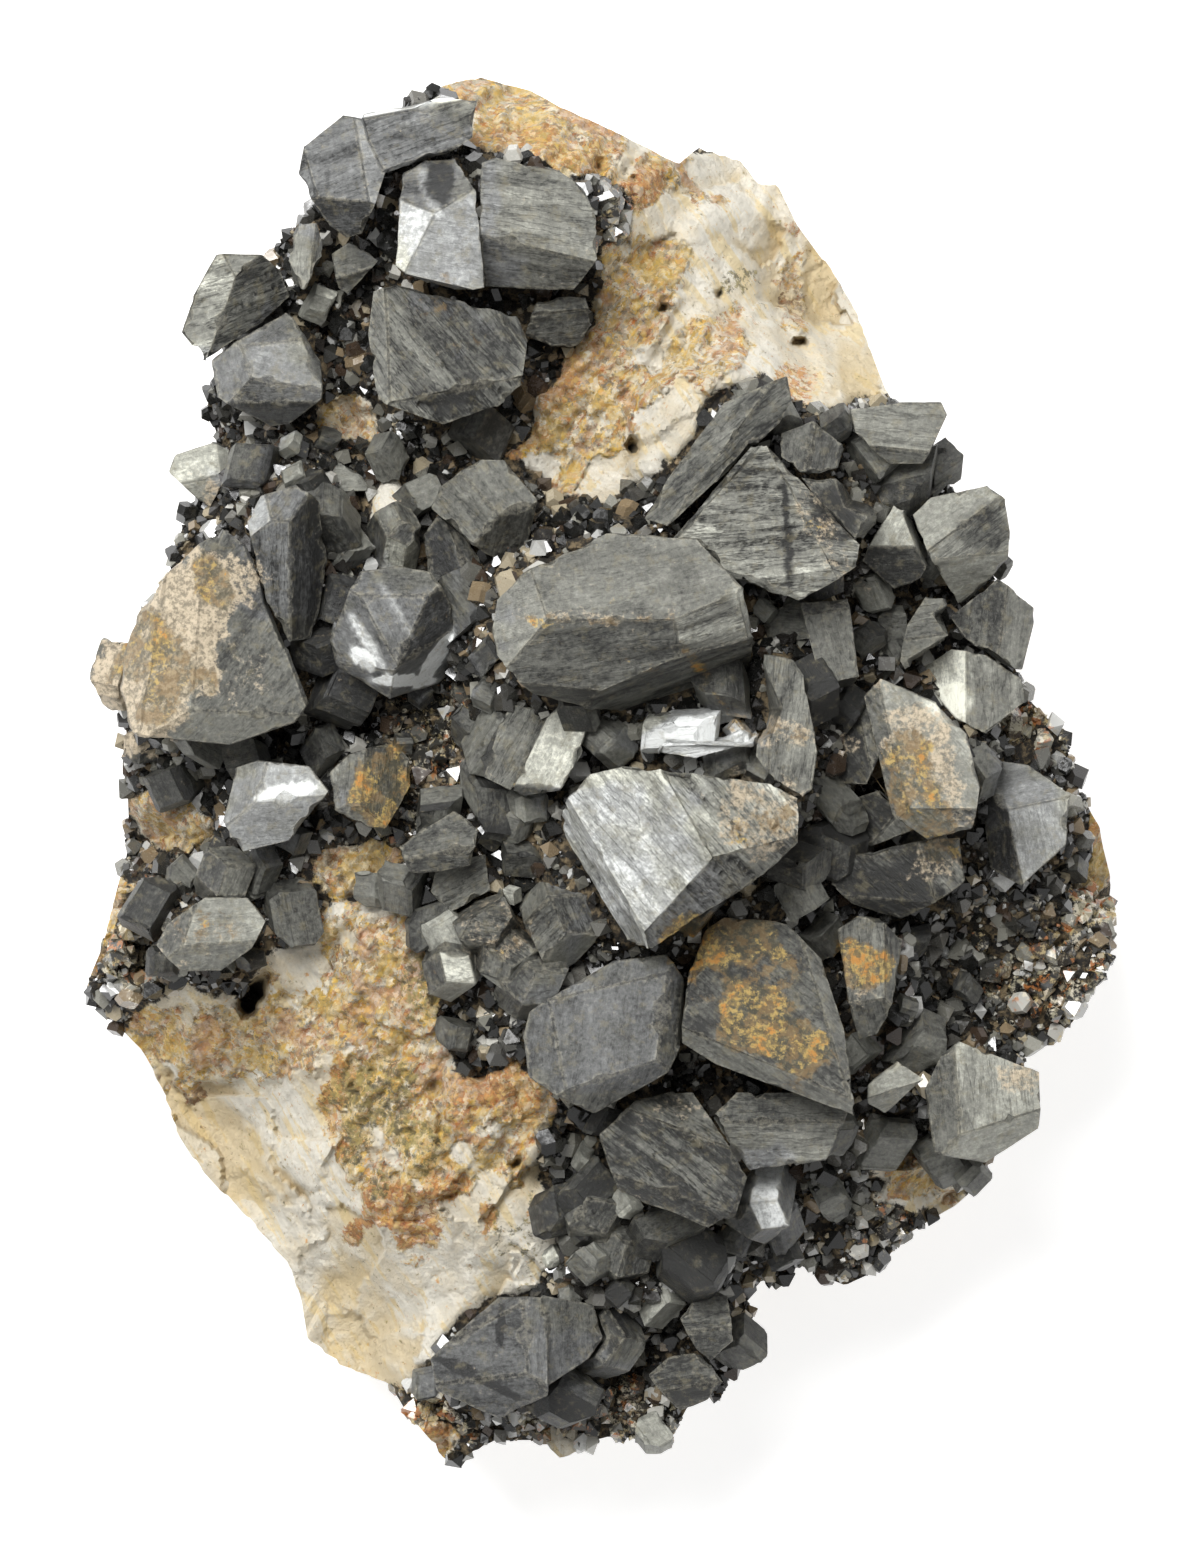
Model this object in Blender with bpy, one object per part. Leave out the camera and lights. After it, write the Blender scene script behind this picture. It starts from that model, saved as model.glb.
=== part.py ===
"""A specimen of black garnet: big striated crystals and druse on a cream and ochre matrix.

The specimen lies on the flat back of its matrix with its crystals up. X runs to the right and Y
runs up the view from above, and Z rises from the surface that it rests on. Tables are in
millimetres from the middle of the specimen, and the meshes are in metres.
"""
import bmesh
import bpy
import functools
import math
import random
from mathutils import Matrix, Quaternion, Vector, noise
from mathutils.geometry import convex_hull_2d, delaunay_2d_cdt

MM = 0.001
SEED = 11

# Clearance between neighbouring solids, in millimetres
GAP = 0.3

# Crystal sides lean in below the outline by this angle, in degrees
UNDERCUT = 9.0
# The same lean on the root of a regular garnet, as a fall of its normal
ROOT_LEAN = 0.16
ROOT_SIDES = 6
# Faces of a regular garnet that look down more than this give way to its root
UPPER_FACES = -0.3
# The rock rises around each crystal to this share of its width below its top
BURIAL = 0.55
# Crystals are rooted this deep below the matrix surface
ROOT_DEPTH = 4.0
# A crystal that overhangs the rock closes below from this share of its width under its rim
BELLY = 0.3
BELLY_SIDES = 6
# Two points nearer than this are one
MERGE = 0.002
# A block that holds any piece of the specimen, from which convex shapes are cut
BLOCK = 120.0

# Matrix: spacing of the surface points, and how its sides draw in towards the flat back
SURFACE_SPACING = 4.0
EDGE_SPACING = 3.6
ROW_SPACING = SURFACE_SPACING * 0.87
SCATTER = 0.8
CLEAR_OF_EDGE = SURFACE_SPACING * 0.45
RIM_DROP = 2.2
RIM_WIDTH = 3.0
LUMP_HEIGHT = 1.4
LUMP_PITCH = 4.3
SIDE_ROUGHNESS = 0.02
SIDE_PITCH = 3.3
# How sharply the surface follows the nearest relief points, and its height along the outline
RELIEF_POWER = 1.8
RIM_HEIGHT = 14.0
RIM_WAVES = 6.0
RIM_PITCH = 11.0
SIDE_RINGS = [(0.985, 0.66), (0.955, 0.3), (0.9, 0.0)]

# Druse: thickness of its carpet, the bed around the carpet, and its crystals' radius and stand
CARPET = 3.5
BED_MARGIN = 0.8
DRUSE_RADIUS = (1.4, 2.4)
DRUSE_STAND = 0.9
DRUSE_TILT = 60
DRUSE_INSET = 0.4

# Directions of the faces of a rhombic dodecahedron, and of its three-fold axis
RHOMB = [Vector(n).normalized() for n in (
    (1, 1, 0), (1, -1, 0), (-1, 1, 0), (-1, -1, 0), (1, 0, 1), (1, 0, -1),
    (-1, 0, 1), (-1, 0, -1), (0, 1, 1), (0, 1, -1), (0, -1, 1), (0, -1, -1))]
THREE_FOLD = Vector((1, 1, 1)).normalized()


def fold(start, end, angle, on=0):
    """A face that bends down by angle from face number on, along the line from start to end."""
    return dict(start=start, end=end, angle=angle, on=on)


def lobe(outline, top, toward, tilt, folds):
    """One crystal: its outline from above, its top face through a point, and the faces beside it."""
    return dict(outline=outline, top=top, toward=toward, tilt=tilt, folds=folds)


def small(x, y, z, radius, toward, tilt, spin, stretch):
    """One regular garnet, with its three-fold axis leaning toward a bearing and stretched along it."""
    return dict(tip=(x, y, z), radius=radius, toward=toward, tilt=tilt, spin=spin, stretch=stretch)


def crust(outline, top, toward, tilt, crystals):
    """A patch of druse: its outline from above, its upper plane and how many crystals it holds."""
    return dict(outline=outline, top=top, toward=toward, tilt=tilt, crystals=crystals)


# The large crystals, from the ones in front to the ones behind
GARNETS = {
    "garnet_giant": [
        lobe(outline=[(-8.5, 11.5), (-8, 14), (-5.5, 16), (0.5, 19), (8, 18.5), (11, 15),
                      (13.5, 8), (12.5, 5.5), (10, 4), (0, 4.5), (-6, 6.5), (-8, 9)],
             top=(2, 15, 46), toward=85, tilt=15,
             folds=[fold((-4, 12), (5.5, 12), 50),
                    fold((-5.5, 16.5), (-4, 12), 42),
                    fold((6, 12.5), (6.5, 9), 18, on=1),
                    fold((11, 14.5), (12, 10.5), 28, on=3),
                    fold((6.5, 9), (12, 10.5), 38, on=3),
                    fold((-6, 7), (8.5, 5.5), 28, on=1)]),
    ],
    "garnet_silver": [
        lobe(outline=[(-3, -2.5), (-0.5, 0), (2, 0.5), (13, -0.5), (16, -2), (16, -5.5),
                      (13.5, -8), (4.5, -14), (2.5, -14), (-3, -5)],
             top=(3, -5.5, 44), toward=205, tilt=12,
             folds=[fold((5.5, -0.5), (9, -6.5), 32),
                    fold((9, -7), (3.5, -13), 47),
                    fold((-2, -3), (3.5, -12.5), 60)]),
    ],
    "garnet_gable": [
        lobe(outline=[(5.5, 18), (8, 21), (12, 26), (13.5, 26), (21, 18), (20.5, 16), (16, 13.5), (8, 16)],
             top=(12, 19.5, 42), toward=100, tilt=12,
             folds=[fold((14, 25), (19, 15.5), 30),
                    fold((6, 17.5), (15.5, 14), 45),
                    fold((12, 25), (7.5, 20), 25)]),
    ],
    "garnet_slab": [
        lobe(outline=[(13, 9.5), (15.5, 9), (16.5, 7.5), (17.5, 1.5), (17, -1.5), (15.5, -2.5), (12.5, 1)],
             top=(15, 4.5, 41), toward=30, tilt=14,
             folds=[fold((14, 9), (13.5, 0), 35)]),
    ],
    "garnet_blade": [
        lobe(outline=[(3.5, 20), (5.5, 23.5), (10, 29.5), (15, 31.5), (15.5, 29.5), (14.5, 27.5),
                      (5.5, 19.5)],
             top=(7.5, 24, 40), toward=150, tilt=18,
             folds=[fold((13.5, 30.5), (7, 21.5), 40)]),
    ],
    "garnet_wedge": [
        lobe(outline=[(4.5, 1.5), (6, 3.5), (9.5, 4.5), (13, 4.5), (13.5, 2.5), (8, 1)],
             top=(9, 3, 40), toward=110, tilt=15,
             folds=[fold((5, 2), (13.5, 2.5), 60)]),
    ],
    "garnet_rusty_right": [
        lobe(outline=[(21, 6), (22.5, 7.5), (27, 5.5), (29.5, 3), (30.5, -1.5), (30, -4.5),
                      (26, -5.5), (23.5, -3.5)],
             top=(26, 1.5, 37), toward=50, tilt=10,
             folds=[fold((22.5, 6.5), (25, -4), 30),
                    fold((24, -3), (30, -3), 40)]),
        lobe(outline=[(17, 5.5), (21, 6.5), (23, 2.5), (21.5, -1), (18.5, -1)],
             top=(19.5, 3, 33), toward=180, tilt=25,
             folds=[fold((20.5, 6), (22, -0.5), 30)]),
        lobe(outline=[(19, -2.5), (22.5, -1.5), (25.5, -4.5), (22, -6), (19.5, -5.5)],
             top=(22.5, -3.5, 32), toward=235, tilt=22,
             folds=[]),
    ],
    "garnet_post": [
        lobe(outline=[(16, 13.5), (20, 14), (20.5, 10.5), (21, 6.5), (18, 5.5)],
             top=(18.5, 10, 38), toward=330, tilt=12,
             folds=[fold((16.5, 12.5), (20, 13), 30)]),
        lobe(outline=[(13, 12.5), (16, 14), (20, 13.5), (19.5, 11), (16, 10.5), (13.5, 10)],
             top=(15, 12, 35), toward=130, tilt=18,
             folds=[]),
    ],
    "garnet_lower_right": [
        lobe(outline=[(18.5, -7), (25.5, -5.5), (29, -5), (29.5, -9), (24.5, -12), (20, -10.5), (18.5, -9)],
             top=(23, -8, 33), toward=250, tilt=12,
             folds=[fold((25.5, -5.5), (27, -10.5), 35),
                    fold((20, -10), (26.5, -10.5), 35)]),
    ],
    "garnet_rusty_triangle": [
        lobe(outline=[(7, -16.5), (8.5, -12.5), (10, -11.5), (15, -12), (18, -15), (20, -21.5),
                      (20.5, -27.5), (9.5, -23.5), (6.5, -21.5)],
             top=(13.5, -18.5, 37), toward=80, tilt=10,
             folds=[fold((16, -12.5), (19.5, -24), 30),
                    fold((9.5, -12), (7, -17.5), 35),
                    fold((7, -20.5), (20, -26), 50)]),
    ],
    "garnet_lower_mid": [
        lobe(outline=[(-6, -21), (-5.5, -19), (1, -15), (5.5, -14.5), (7, -16.5), (7, -21.5),
                      (5.5, -24), (-0.5, -27.5), (-5.5, -24.5)],
             top=(0.5, -20, 38), toward=95, tilt=8,
             folds=[fold((-3.5, -18), (5.5, -16), 25),
                    fold((5.5, -16.5), (4.5, -24.5), 45),
                    fold((-3, -25.5), (4.5, -23), 50),
                    fold((-4, -18), (-2.5, -25.5), 22)]),
    ],
    "garnet_striated_lower": [
        lobe(outline=[(0, -29), (2.5, -26.5), (5.5, -25.5), (8, -25.5), (12, -32.5), (11, -35.5),
                      (9, -36.5), (1.5, -33.5)],
             top=(5.5, -31, 35), toward=70, tilt=10,
             folds=[fold((3, -27), (9.5, -29.5), 30),
                    fold((1, -32), (10, -35), 45)]),
    ],
    "garnet_fan": [
        lobe(outline=[(9, -27.5), (11, -25.5), (17, -25.5), (20, -27), (18.5, -31), (12, -32)],
             top=(15, -27, 33), toward=75, tilt=8,
             folds=[fold((10, -28), (19, -28), 35)]),
    ],
    "garnet_rusty_block": [
        lobe(outline=[(19, -12.5), (20.5, -11.5), (22.5, -11.5), (24.5, -13.5), (23.5, -18.5),
                      (22.5, -21), (20.5, -21.5)],
             top=(21.5, -15, 33), toward=60, tilt=10,
             folds=[fold((23, -12), (23, -19), 40),
                    fold((19.5, -18.5), (24, -18), 40)]),
    ],
    "garnet_small_block": [
        lobe(outline=[(21.5, -25), (24, -23), (26, -24.5), (24.5, -26), (23, -27.5), (21.5, -26.5)],
             top=(23.5, -25, 31), toward=120, tilt=8,
             folds=[fold((22, -26), (25, -25), 45)]),
    ],
    "garnet_stepped": [
        lobe(outline=[(26, -25.5), (27.5, -22.5), (29, -21.5), (35.5, -24), (35.5, -28.5),
                      (31, -31.5), (27, -30.5)],
             top=(31, -26, 29), toward=60, tilt=10,
             folds=[fold((28.5, -22), (29, -29.5), 35),
                    fold((27.5, -29.5), (35.5, -27), 40)]),
    ],
    "garnet_right_edge": [
        lobe(outline=[(30.5, 0.5), (32.5, 1), (35, 0.5), (38, -2), (37.5, -6), (34, -9), (31.5, -8)],
             top=(35.5, -4.5, 27), toward=50, tilt=12,
             folds=[fold((33, -3), (37.5, -2), 30),
                    fold((32.5, -1.5), (34, -9), 55)]),
    ],
    "garnet_right_patch": [
        lobe(outline=[(26, 8.5), (28.5, 10), (31, 9.5), (34, 7.5), (34.5, 5.5), (31, 3), (29, 4),
                      (26.5, 6.5)],
             top=(31.5, 6.5, 28), toward=50, tilt=12,
             folds=[fold((29.5, 9.5), (29.5, 5.5), 35)]),
    ],
    "garnet_right_dark": [
        lobe(outline=[(28, 12.5), (30, 14), (32, 15.5), (35, 13.5), (35, 12), (34, 8), (32, 8.5),
                      (29.5, 10.5)],
             top=(31, 12, 28), toward=190, tilt=14,
             folds=[fold((33, 15.5), (32, 8.5), 50)]),
    ],
    "garnet_right_head": [
        lobe(outline=[(25, 20.5), (26.5, 22), (31, 23), (32.5, 22), (33, 19.5), (33, 17.5),
                      (30, 13.5), (28, 13.5), (26.5, 17.5)],
             top=(28.5, 21, 31), toward=90, tilt=12,
             folds=[fold((27.5, 18.5), (31.5, 21.5), 28),
                    fold((28, 17), (32.5, 17.5), 35, on=1)]),
    ],
    "garnet_dark_round": [
        lobe(outline=[(21, 17), (23, 20), (23.5, 21.5), (25.5, 20.5), (27, 17.5), (26, 15.5), (23.5, 14.5)],
             top=(24, 19.5, 33), toward=90, tilt=18,
             folds=[fold((22, 18), (26.5, 18), 50)]),
    ],
    "garnet_corner": [
        lobe(outline=[(20, 29), (23.5, 29.5), (27.5, 29.5), (28, 28.5), (27, 26.5), (26, 24.5),
                      (23, 24.5), (20.5, 27)],
             top=(24, 28, 34), toward=60, tilt=10,
             folds=[fold((21.5, 26), (26.5, 25.5), 45)]),
        lobe(outline=[(20.5, 24), (21, 26.5), (26, 25.5), (25.5, 22.5), (23.5, 21.5), (21, 22.5)],
             top=(23, 24, 30), toward=240, tilt=20,
             folds=[]),
        lobe(outline=[(25.5, 23.5), (26.5, 26), (28, 26), (28.5, 23.5), (26.5, 22)],
             top=(27, 24.5, 29), toward=20, tilt=15,
             folds=[]),
    ],
    "garnet_behind": [
        lobe(outline=[(16, 23.5), (19.5, 23.5), (22.5, 22), (23, 19.5), (21, 18), (18.5, 20)],
             top=(20, 21.5, 38), toward=60, tilt=10,
             folds=[fold((21.5, 22.5), (21.5, 18), 40)]),
    ],
    "garnet_striped": [
        lobe(outline=[(14.5, 27), (17, 28), (20, 26), (19, 24), (16.5, 23.5), (14.5, 25)],
             top=(16, 26, 38), toward=120, tilt=12,
             folds=[fold((17.5, 28), (16.5, 23.5), 35)]),
    ],
    "garnet_knobbly": [
        lobe(outline=[(24, 9), (24.5, 11.5), (26, 14), (28, 14), (28, 10.5), (26, 9), (24.5, 8)],
             top=(26.5, 12, 31), toward=80, tilt=15,
             folds=[fold((24.5, 10.5), (28, 11), 35)]),
    ],
    "garnet_striated": [
        lobe(outline=[(-18.5, 34.5), (-18, 38.5), (-16, 39), (-6.5, 36.5), (-5.5, 34), (-6, 31),
                      (-8, 29), (-12.5, 27.5), (-17.5, 29.5)],
             top=(-12, 34, 36), toward=75, tilt=10,
             folds=[fold((-17, 39), (-16.5, 28), 35),
                    fold((-16, 29.5), (-6, 31.5), 30),
                    fold((-8, 37), (-5.5, 33.5), 25)]),
    ],
    "garnet_block": [
        lobe(outline=[(-16, 40), (-16, 47.5), (-13.5, 49), (-11, 49), (-9.5, 45.5), (-9, 38.5),
                      (-11.5, 38), (-13.5, 38.5)],
             top=(-12, 42, 38), toward=110, tilt=10,
             folds=[fold((-13, 44.5), (-15.5, 39.5), 28),
                    fold((-13, 44.5), (-10.5, 46), 32)]),
        lobe(outline=[(-9.5, 48.5), (-8, 49), (-3, 48), (-1, 46.5), (0, 44), (0, 41),
                      (-1.5, 38.5), (-9.5, 38.5)],
             top=(-4.5, 45.5, 37), toward=75, tilt=10,
             folds=[fold((-8.5, 42.5), (0, 40.5), 50),
                    fold((-2.5, 48), (0.5, 44), 25)]),
    ],
    "garnet_top": [
        lobe(outline=[(-24, 47.5), (-23.5, 50), (-20.5, 52.5), (-18, 52), (-16.5, 48.5),
                      (-18.5, 43), (-20, 42.5), (-22, 44)],
             top=(-21, 48.5, 34), toward=115, tilt=18,
             folds=[fold((-19.5, 52.5), (-18.5, 47), 25),
                    fold((-23.5, 46), (-19, 45.5), 55),
                    fold((-23.5, 49.5), (-22.5, 46), 25)]),
        lobe(outline=[(-19, 52.5), (-12.5, 54), (-9.5, 53.5), (-10, 50.5), (-11.5, 49.5), (-17.5, 47.5)],
             top=(-14, 50.5, 33.5), toward=95, tilt=12,
             folds=[fold((-17.5, 52.5), (-12, 53.5), 45),
                    fold((-17, 48), (-10.5, 50), 55)]),
    ],
    "garnet_left_lower": [
        lobe(outline=[(-31, 33), (-28, 35), (-25, 37), (-24, 36), (-22, 32.5), (-22, 30),
                      (-24, 28), (-26.5, 27.5), (-30.5, 30)],
             top=(-25.5, 32.5, 32), toward=80, tilt=12,
             folds=[fold((-28.5, 34), (-27.5, 31), 32),
                    fold((-28, 31.5), (-22, 30.5), 35),
                    fold((-28.5, 29.5), (-22, 29.5), 35, on=2),
                    fold((-24, 35.5), (-22, 31), 35),
                    fold((-28.5, 34), (-24, 34.5), 20)]),
    ],
    "garnet_left_upper": [
        lobe(outline=[(-33.5, 35), (-32.5, 38), (-30.5, 41.5), (-27, 41.5), (-25.5, 40.5),
                      (-24.5, 38), (-28, 35), (-31.5, 33)],
             top=(-31.5, 38, 30), toward=155, tilt=22,
             folds=[fold((-29, 39.5), (-31, 34), 60),
                    fold((-29, 39.5), (-30, 41.5), 28)]),
    ],
    "garnet_pale_left": [
        lobe(outline=[(-34.5, 24), (-34, 25.5), (-31, 26.5), (-29.5, 26), (-29.5, 24.5),
                      (-31, 21), (-33, 22.5)],
             top=(-32, 25, 26), toward=100, tilt=8,
             folds=[fold((-34, 23), (-29.5, 24), 35),
                    fold((-30.5, 26.5), (-30, 22.5), 35)]),
    ],
    "garnet_pale_prism": [
        lobe(outline=[(-25, 39.5), (-24.5, 42.5), (-24, 44), (-22.5, 44), (-22, 42.5), (-22, 41),
                      (-23.5, 38.5), (-25, 38.5)],
             top=(-23.5, 42, 31), toward=100, tilt=8,
             folds=[fold((-22.5, 44), (-23, 38.5), 40)]),
    ],
    "garnet_small_top": [
        lobe(outline=[(-21.5, 41.5), (-20, 42.5), (-19, 42), (-17.5, 41), (-19, 39.5), (-20, 38),
                      (-21, 39)],
             top=(-19.5, 41, 29), toward=100, tilt=10,
             folds=[fold((-21, 39.5), (-17.5, 40.5), 45)]),
    ],
    "garnet_shadow": [
        lobe(outline=[(-6, 35), (-5, 37.5), (-3, 38), (-1, 38), (-0.5, 36), (-1.5, 34), (-4, 34)],
             top=(-3.5, 37.5, 32), toward=95, tilt=12,
             folds=[fold((-5.5, 36.5), (-0.5, 37), 45)]),
    ],
    "garnet_prism_left": [
        lobe(outline=[(-28, 20), (-27, 22), (-24, 23), (-22.5, 22), (-21.5, 18), (-22, 13.5),
                      (-23, 10.5), (-25, 10.5), (-27, 15)],
             top=(-25, 21, 37), toward=80, tilt=20,
             folds=[fold((-27, 20), (-23, 20), 45),
                    fold((-24.5, 20), (-24.5, 10.5), 45, on=1),
                    fold((-26.5, 22), (-26, 20), 30)]),
    ],
    "garnet_boulder": [
        lobe(outline=[(-38, 6), (-38, 9.5), (-36.5, 13), (-34, 16.5), (-30, 19.5), (-28, 18),
                      (-25.5, 12), (-23, 5.5), (-24, 4), (-29.5, 2), (-37, 3)],
             top=(-28.5, 10, 35), toward=40, tilt=12,
             folds=[fold((-31.5, 18), (-32.5, 2), 28),
                    fold((-34.5, 16), (-36.5, 3), 25, on=1),
                    fold((-36, 5), (-24, 4.5), 40),
                    fold((-27, 15), (-23.5, 6), 28)]),
    ],
    "garnet_mirror": [
        lobe(outline=[(-21.5, 11), (-20, 14), (-19, 16), (-16, 16.5), (-13.5, 16), (-10, 11),
                      (-11, 8.5), (-13.5, 6.5), (-17, 6), (-21, 8.5)],
             top=(-16, 12, 37), toward=270, tilt=8,
             folds=[fold((-19, 14), (-13.5, 14), 35),
                    fold((-19, 14), (-16, 8.5), 30),
                    fold((-13.5, 14), (-16, 8.5), 40),
                    fold((-20, 8.5), (-16.5, 8), 25, on=2),
                    fold((-16.5, 8), (-12, 11), 25, on=3)]),
    ],
    "garnet_head_mid": [
        lobe(outline=[(-13.5, 21), (-12.5, 23), (-9.5, 25), (-7.5, 25), (-5, 22), (-5.5, 17),
                      (-6.5, 16), (-10, 18)],
             top=(-8.5, 23, 36), toward=60, tilt=14,
             folds=[fold((-11, 24), (-7.5, 20), 35),
                    fold((-11, 19.5), (-4.5, 21.5), 55)]),
    ],
    "garnet_dark_prism": [
        lobe(outline=[(-14, 19), (-12.5, 21), (-11, 19.5), (-8.5, 15.5), (-9.5, 13.5), (-13.5, 14)],
             top=(-11.5, 17, 32), toward=200, tilt=18,
             folds=[fold((-12.5, 21), (-9.5, 14), 45)]),
    ],
    "garnet_ochre_edge": [
        lobe(outline=[(-21.5, 0), (-20, 1.5), (-16.5, 2.5), (-15, 1), (-15, -1.5), (-17, -4.5),
                      (-18.5, -4.5), (-21, -3)],
             top=(-20, -0.5, 33), toward=120, tilt=10,
             folds=[fold((-18.5, 2), (-19, -4.5), 35),
                    fold((-21, -3), (-16, -2.5), 40)]),
    ],
    "garnet_pale_mid": [
        lobe(outline=[(-30, -4), (-29, 0.5), (-27, 1), (-23, 0.5), (-21.5, -1.5), (-24.5, -5.5),
                      (-28.5, -6.5)],
             top=(-25, -0.5, 32), toward=85, tilt=10,
             folds=[fold((-26.5, 0.5), (-27.5, -3), 30),
                    fold((-28, -2.5), (-22.5, -2), 35)]),
    ],
    "garnet_low_left": [
        lobe(outline=[(-35.5, -14), (-34.5, -12), (-31.5, -10), (-28, -10), (-26.5, -12),
                      (-27.5, -14), (-30, -16), (-33.5, -16)],
             top=(-30.5, -11.5, 29), toward=85, tilt=8,
             folds=[fold((-32.5, -11.5), (-34, -16), 30),
                    fold((-33.5, -14), (-27, -13.5), 30)]),
    ],
    "garnet_oval": [
        lobe(outline=[(-16, -6), (-14, -4.5), (-11.5, -3), (-9.5, -4.5), (-10, -7.5), (-12.5, -8),
                      (-15, -8)],
             top=(-12.5, -5.5, 34), toward=110, tilt=10,
             folds=[fold((-15.5, -7), (-10, -6), 40)]),
        lobe(outline=[(-13, -7.5), (-9, -6.5), (-8.5, -9.5), (-12, -11.5), (-13.5, -9.5)],
             top=(-11, -8.5, 31), toward=280, tilt=14,
             folds=[]),
    ],
    "garnet_long_pair": [
        lobe(outline=[(-7, -1.5), (-4, 4.5), (-3, 5.5), (-0.5, 4.5), (-1.5, 1), (-3, -1.5), (-5.5, -2)],
             top=(-3, 2, 37), toward=190, tilt=8,
             folds=[fold((-0.5, 4.5), (-2.5, -1.5), 45),
                    fold((-7, -1), (-1.5, -1.5), 30)]),
        lobe(outline=[(-9.5, 1), (-7, 5.5), (-4, 5), (-3.5, 3.5), (-7, -1.5), (-9, -0.5)],
             top=(-6.5, 3.5, 35), toward=70, tilt=10,
             folds=[fold((-7.5, 5.5), (-9, 0), 35)]),
    ],
    "garnet_bottom": [
        lobe(outline=[(-13.5, -47), (-12.5, -46), (-8, -42), (-4, -42), (-4, -50), (-8, -52), (-13, -49.5)],
             top=(-8, -46.5, 28), toward=90, tilt=8,
             folds=[fold((-12.5, -46), (-5, -42), 25),
                    fold((-12.5, -49), (-4, -48), 30),
                    fold((-6, -42), (-5.5, -50), 25)]),
        lobe(outline=[(-4.5, -42), (-0.5, -42.5), (0.5, -45.5), (-1, -47.5), (-4.5, -49.5)],
             top=(-3, -45, 26), toward=350, tilt=28,
             folds=[]),
    ],
    "garnet_bottom_right": [
        lobe(outline=[(6.5, -44), (8.5, -41), (10.5, -42), (11, -45.5), (9, -47.5), (7.5, -46)],
             top=(8.5, -43.5, 25), toward=100, tilt=10,
             folds=[fold((6.5, -45), (11, -44.5), 35)]),
    ],
    "garnet_bottom_low": [
        lobe(outline=[(4, -48.5), (5.5, -47), (8.5, -46.5), (10, -49), (9, -50.5), (6.5, -51.5)],
             top=(7, -48.5, 24), toward=90, tilt=8,
             folds=[fold((4, -50), (10, -49), 35)]),
    ],
}

# Middling crystals of regular form
REGULAR_GARNETS = {
    "garnet_white_prism": [
        small(-16, 18, 34, 1.6, toward=80, tilt=35, spin=0, stretch=1.2),
    ],
    "garnet_left_small": [
        small(-30, -8.5, 27, 2.2, toward=70, tilt=20, spin=25, stretch=0.2),
    ],
    "garnet_heap": [
        small(-9, -12, 35, 2.4, toward=120, tilt=20, spin=10, stretch=0.3),
        small(-7.5, -14.5, 34, 2.2, toward=300, tilt=25, spin=40, stretch=0.2),
        small(-11.5, -15, 33, 2.1, toward=250, tilt=30, spin=0, stretch=0.6),
        small(-5.5, -17, 34, 2.4, toward=60, tilt=20, spin=20, stretch=0.3),
        small(-3, -11.5, 35, 2.8, toward=290, tilt=20, spin=10, stretch=0.4),
    ],
    "garnet_white_low": [
        small(13.5, -34, 30, 2.0, toward=260, tilt=40, spin=10, stretch=0.9),
    ],
    "garnet_low_pair": [
        small(-0.5, -35.5, 28, 2.4, toward=100, tilt=25, spin=10, stretch=0.2),
        small(2, -38.5, 27, 2.4, toward=60, tilt=15, spin=30, stretch=0.0),
    ],
    "garnet_bottom_mid": [
        small(0.5, -46, 24, 2.5, toward=20, tilt=30, spin=10, stretch=0.3),
    ],
}

# Patches of druse
CRUSTS = {
    "druse_right": crust(
        outline=[(27, -15.5), (29.5, -10), (37, -8.5), (41, -12), (41, -16), (38, -20.5), (33.5, -22),
                 (28, -20.5)],
        top=(34, -15, 21), toward=300, tilt=10, crystals=16),
    "druse_knob": crust(
        outline=[(17.5, -39), (18.5, -35.5), (22.5, -33.5), (26, -34.5), (24, -37.5), (20, -41)],
        top=(21.5, -37, 18), toward=290, tilt=20, crystals=8),
    "druse_low": crust(
        outline=[(-4, -33), (0, -32), (7.5, -37), (12, -37.5), (11, -41), (3.5, -42), (-4, -40.5)],
        top=(4, -38, 24), toward=300, tilt=12, crystals=11),
    "druse_bottom": crust(
        outline=[(-16, -50), (-12.5, -50), (0, -49), (11.5, -44.5), (11, -48), (7.5, -50.5), (5, -54),
                 (-3, -55), (-12, -55), (-15, -52)],
        top=(-2, -52, 16.5), toward=280, tilt=15, crystals=13),
    "druse_left": crust(
        outline=[(-38, 0.5), (-36, 2.5), (-29, 2), (-28.5, -1.5), (-31.5, -5), (-34, -4.5), (-37.5, -1.5)],
        top=(-33.5, -1, 19), toward=200, tilt=12, crystals=9),
    "druse_upper": crust(
        outline=[(-32.5, 19.5), (-29.5, 26), (-24, 27.5), (-13.5, 26.5), (-16, 22), (-21.5, 20), (-28.5, 20)],
        top=(-23, 24, 24), toward=200, tilt=14, crystals=11),
}

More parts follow.
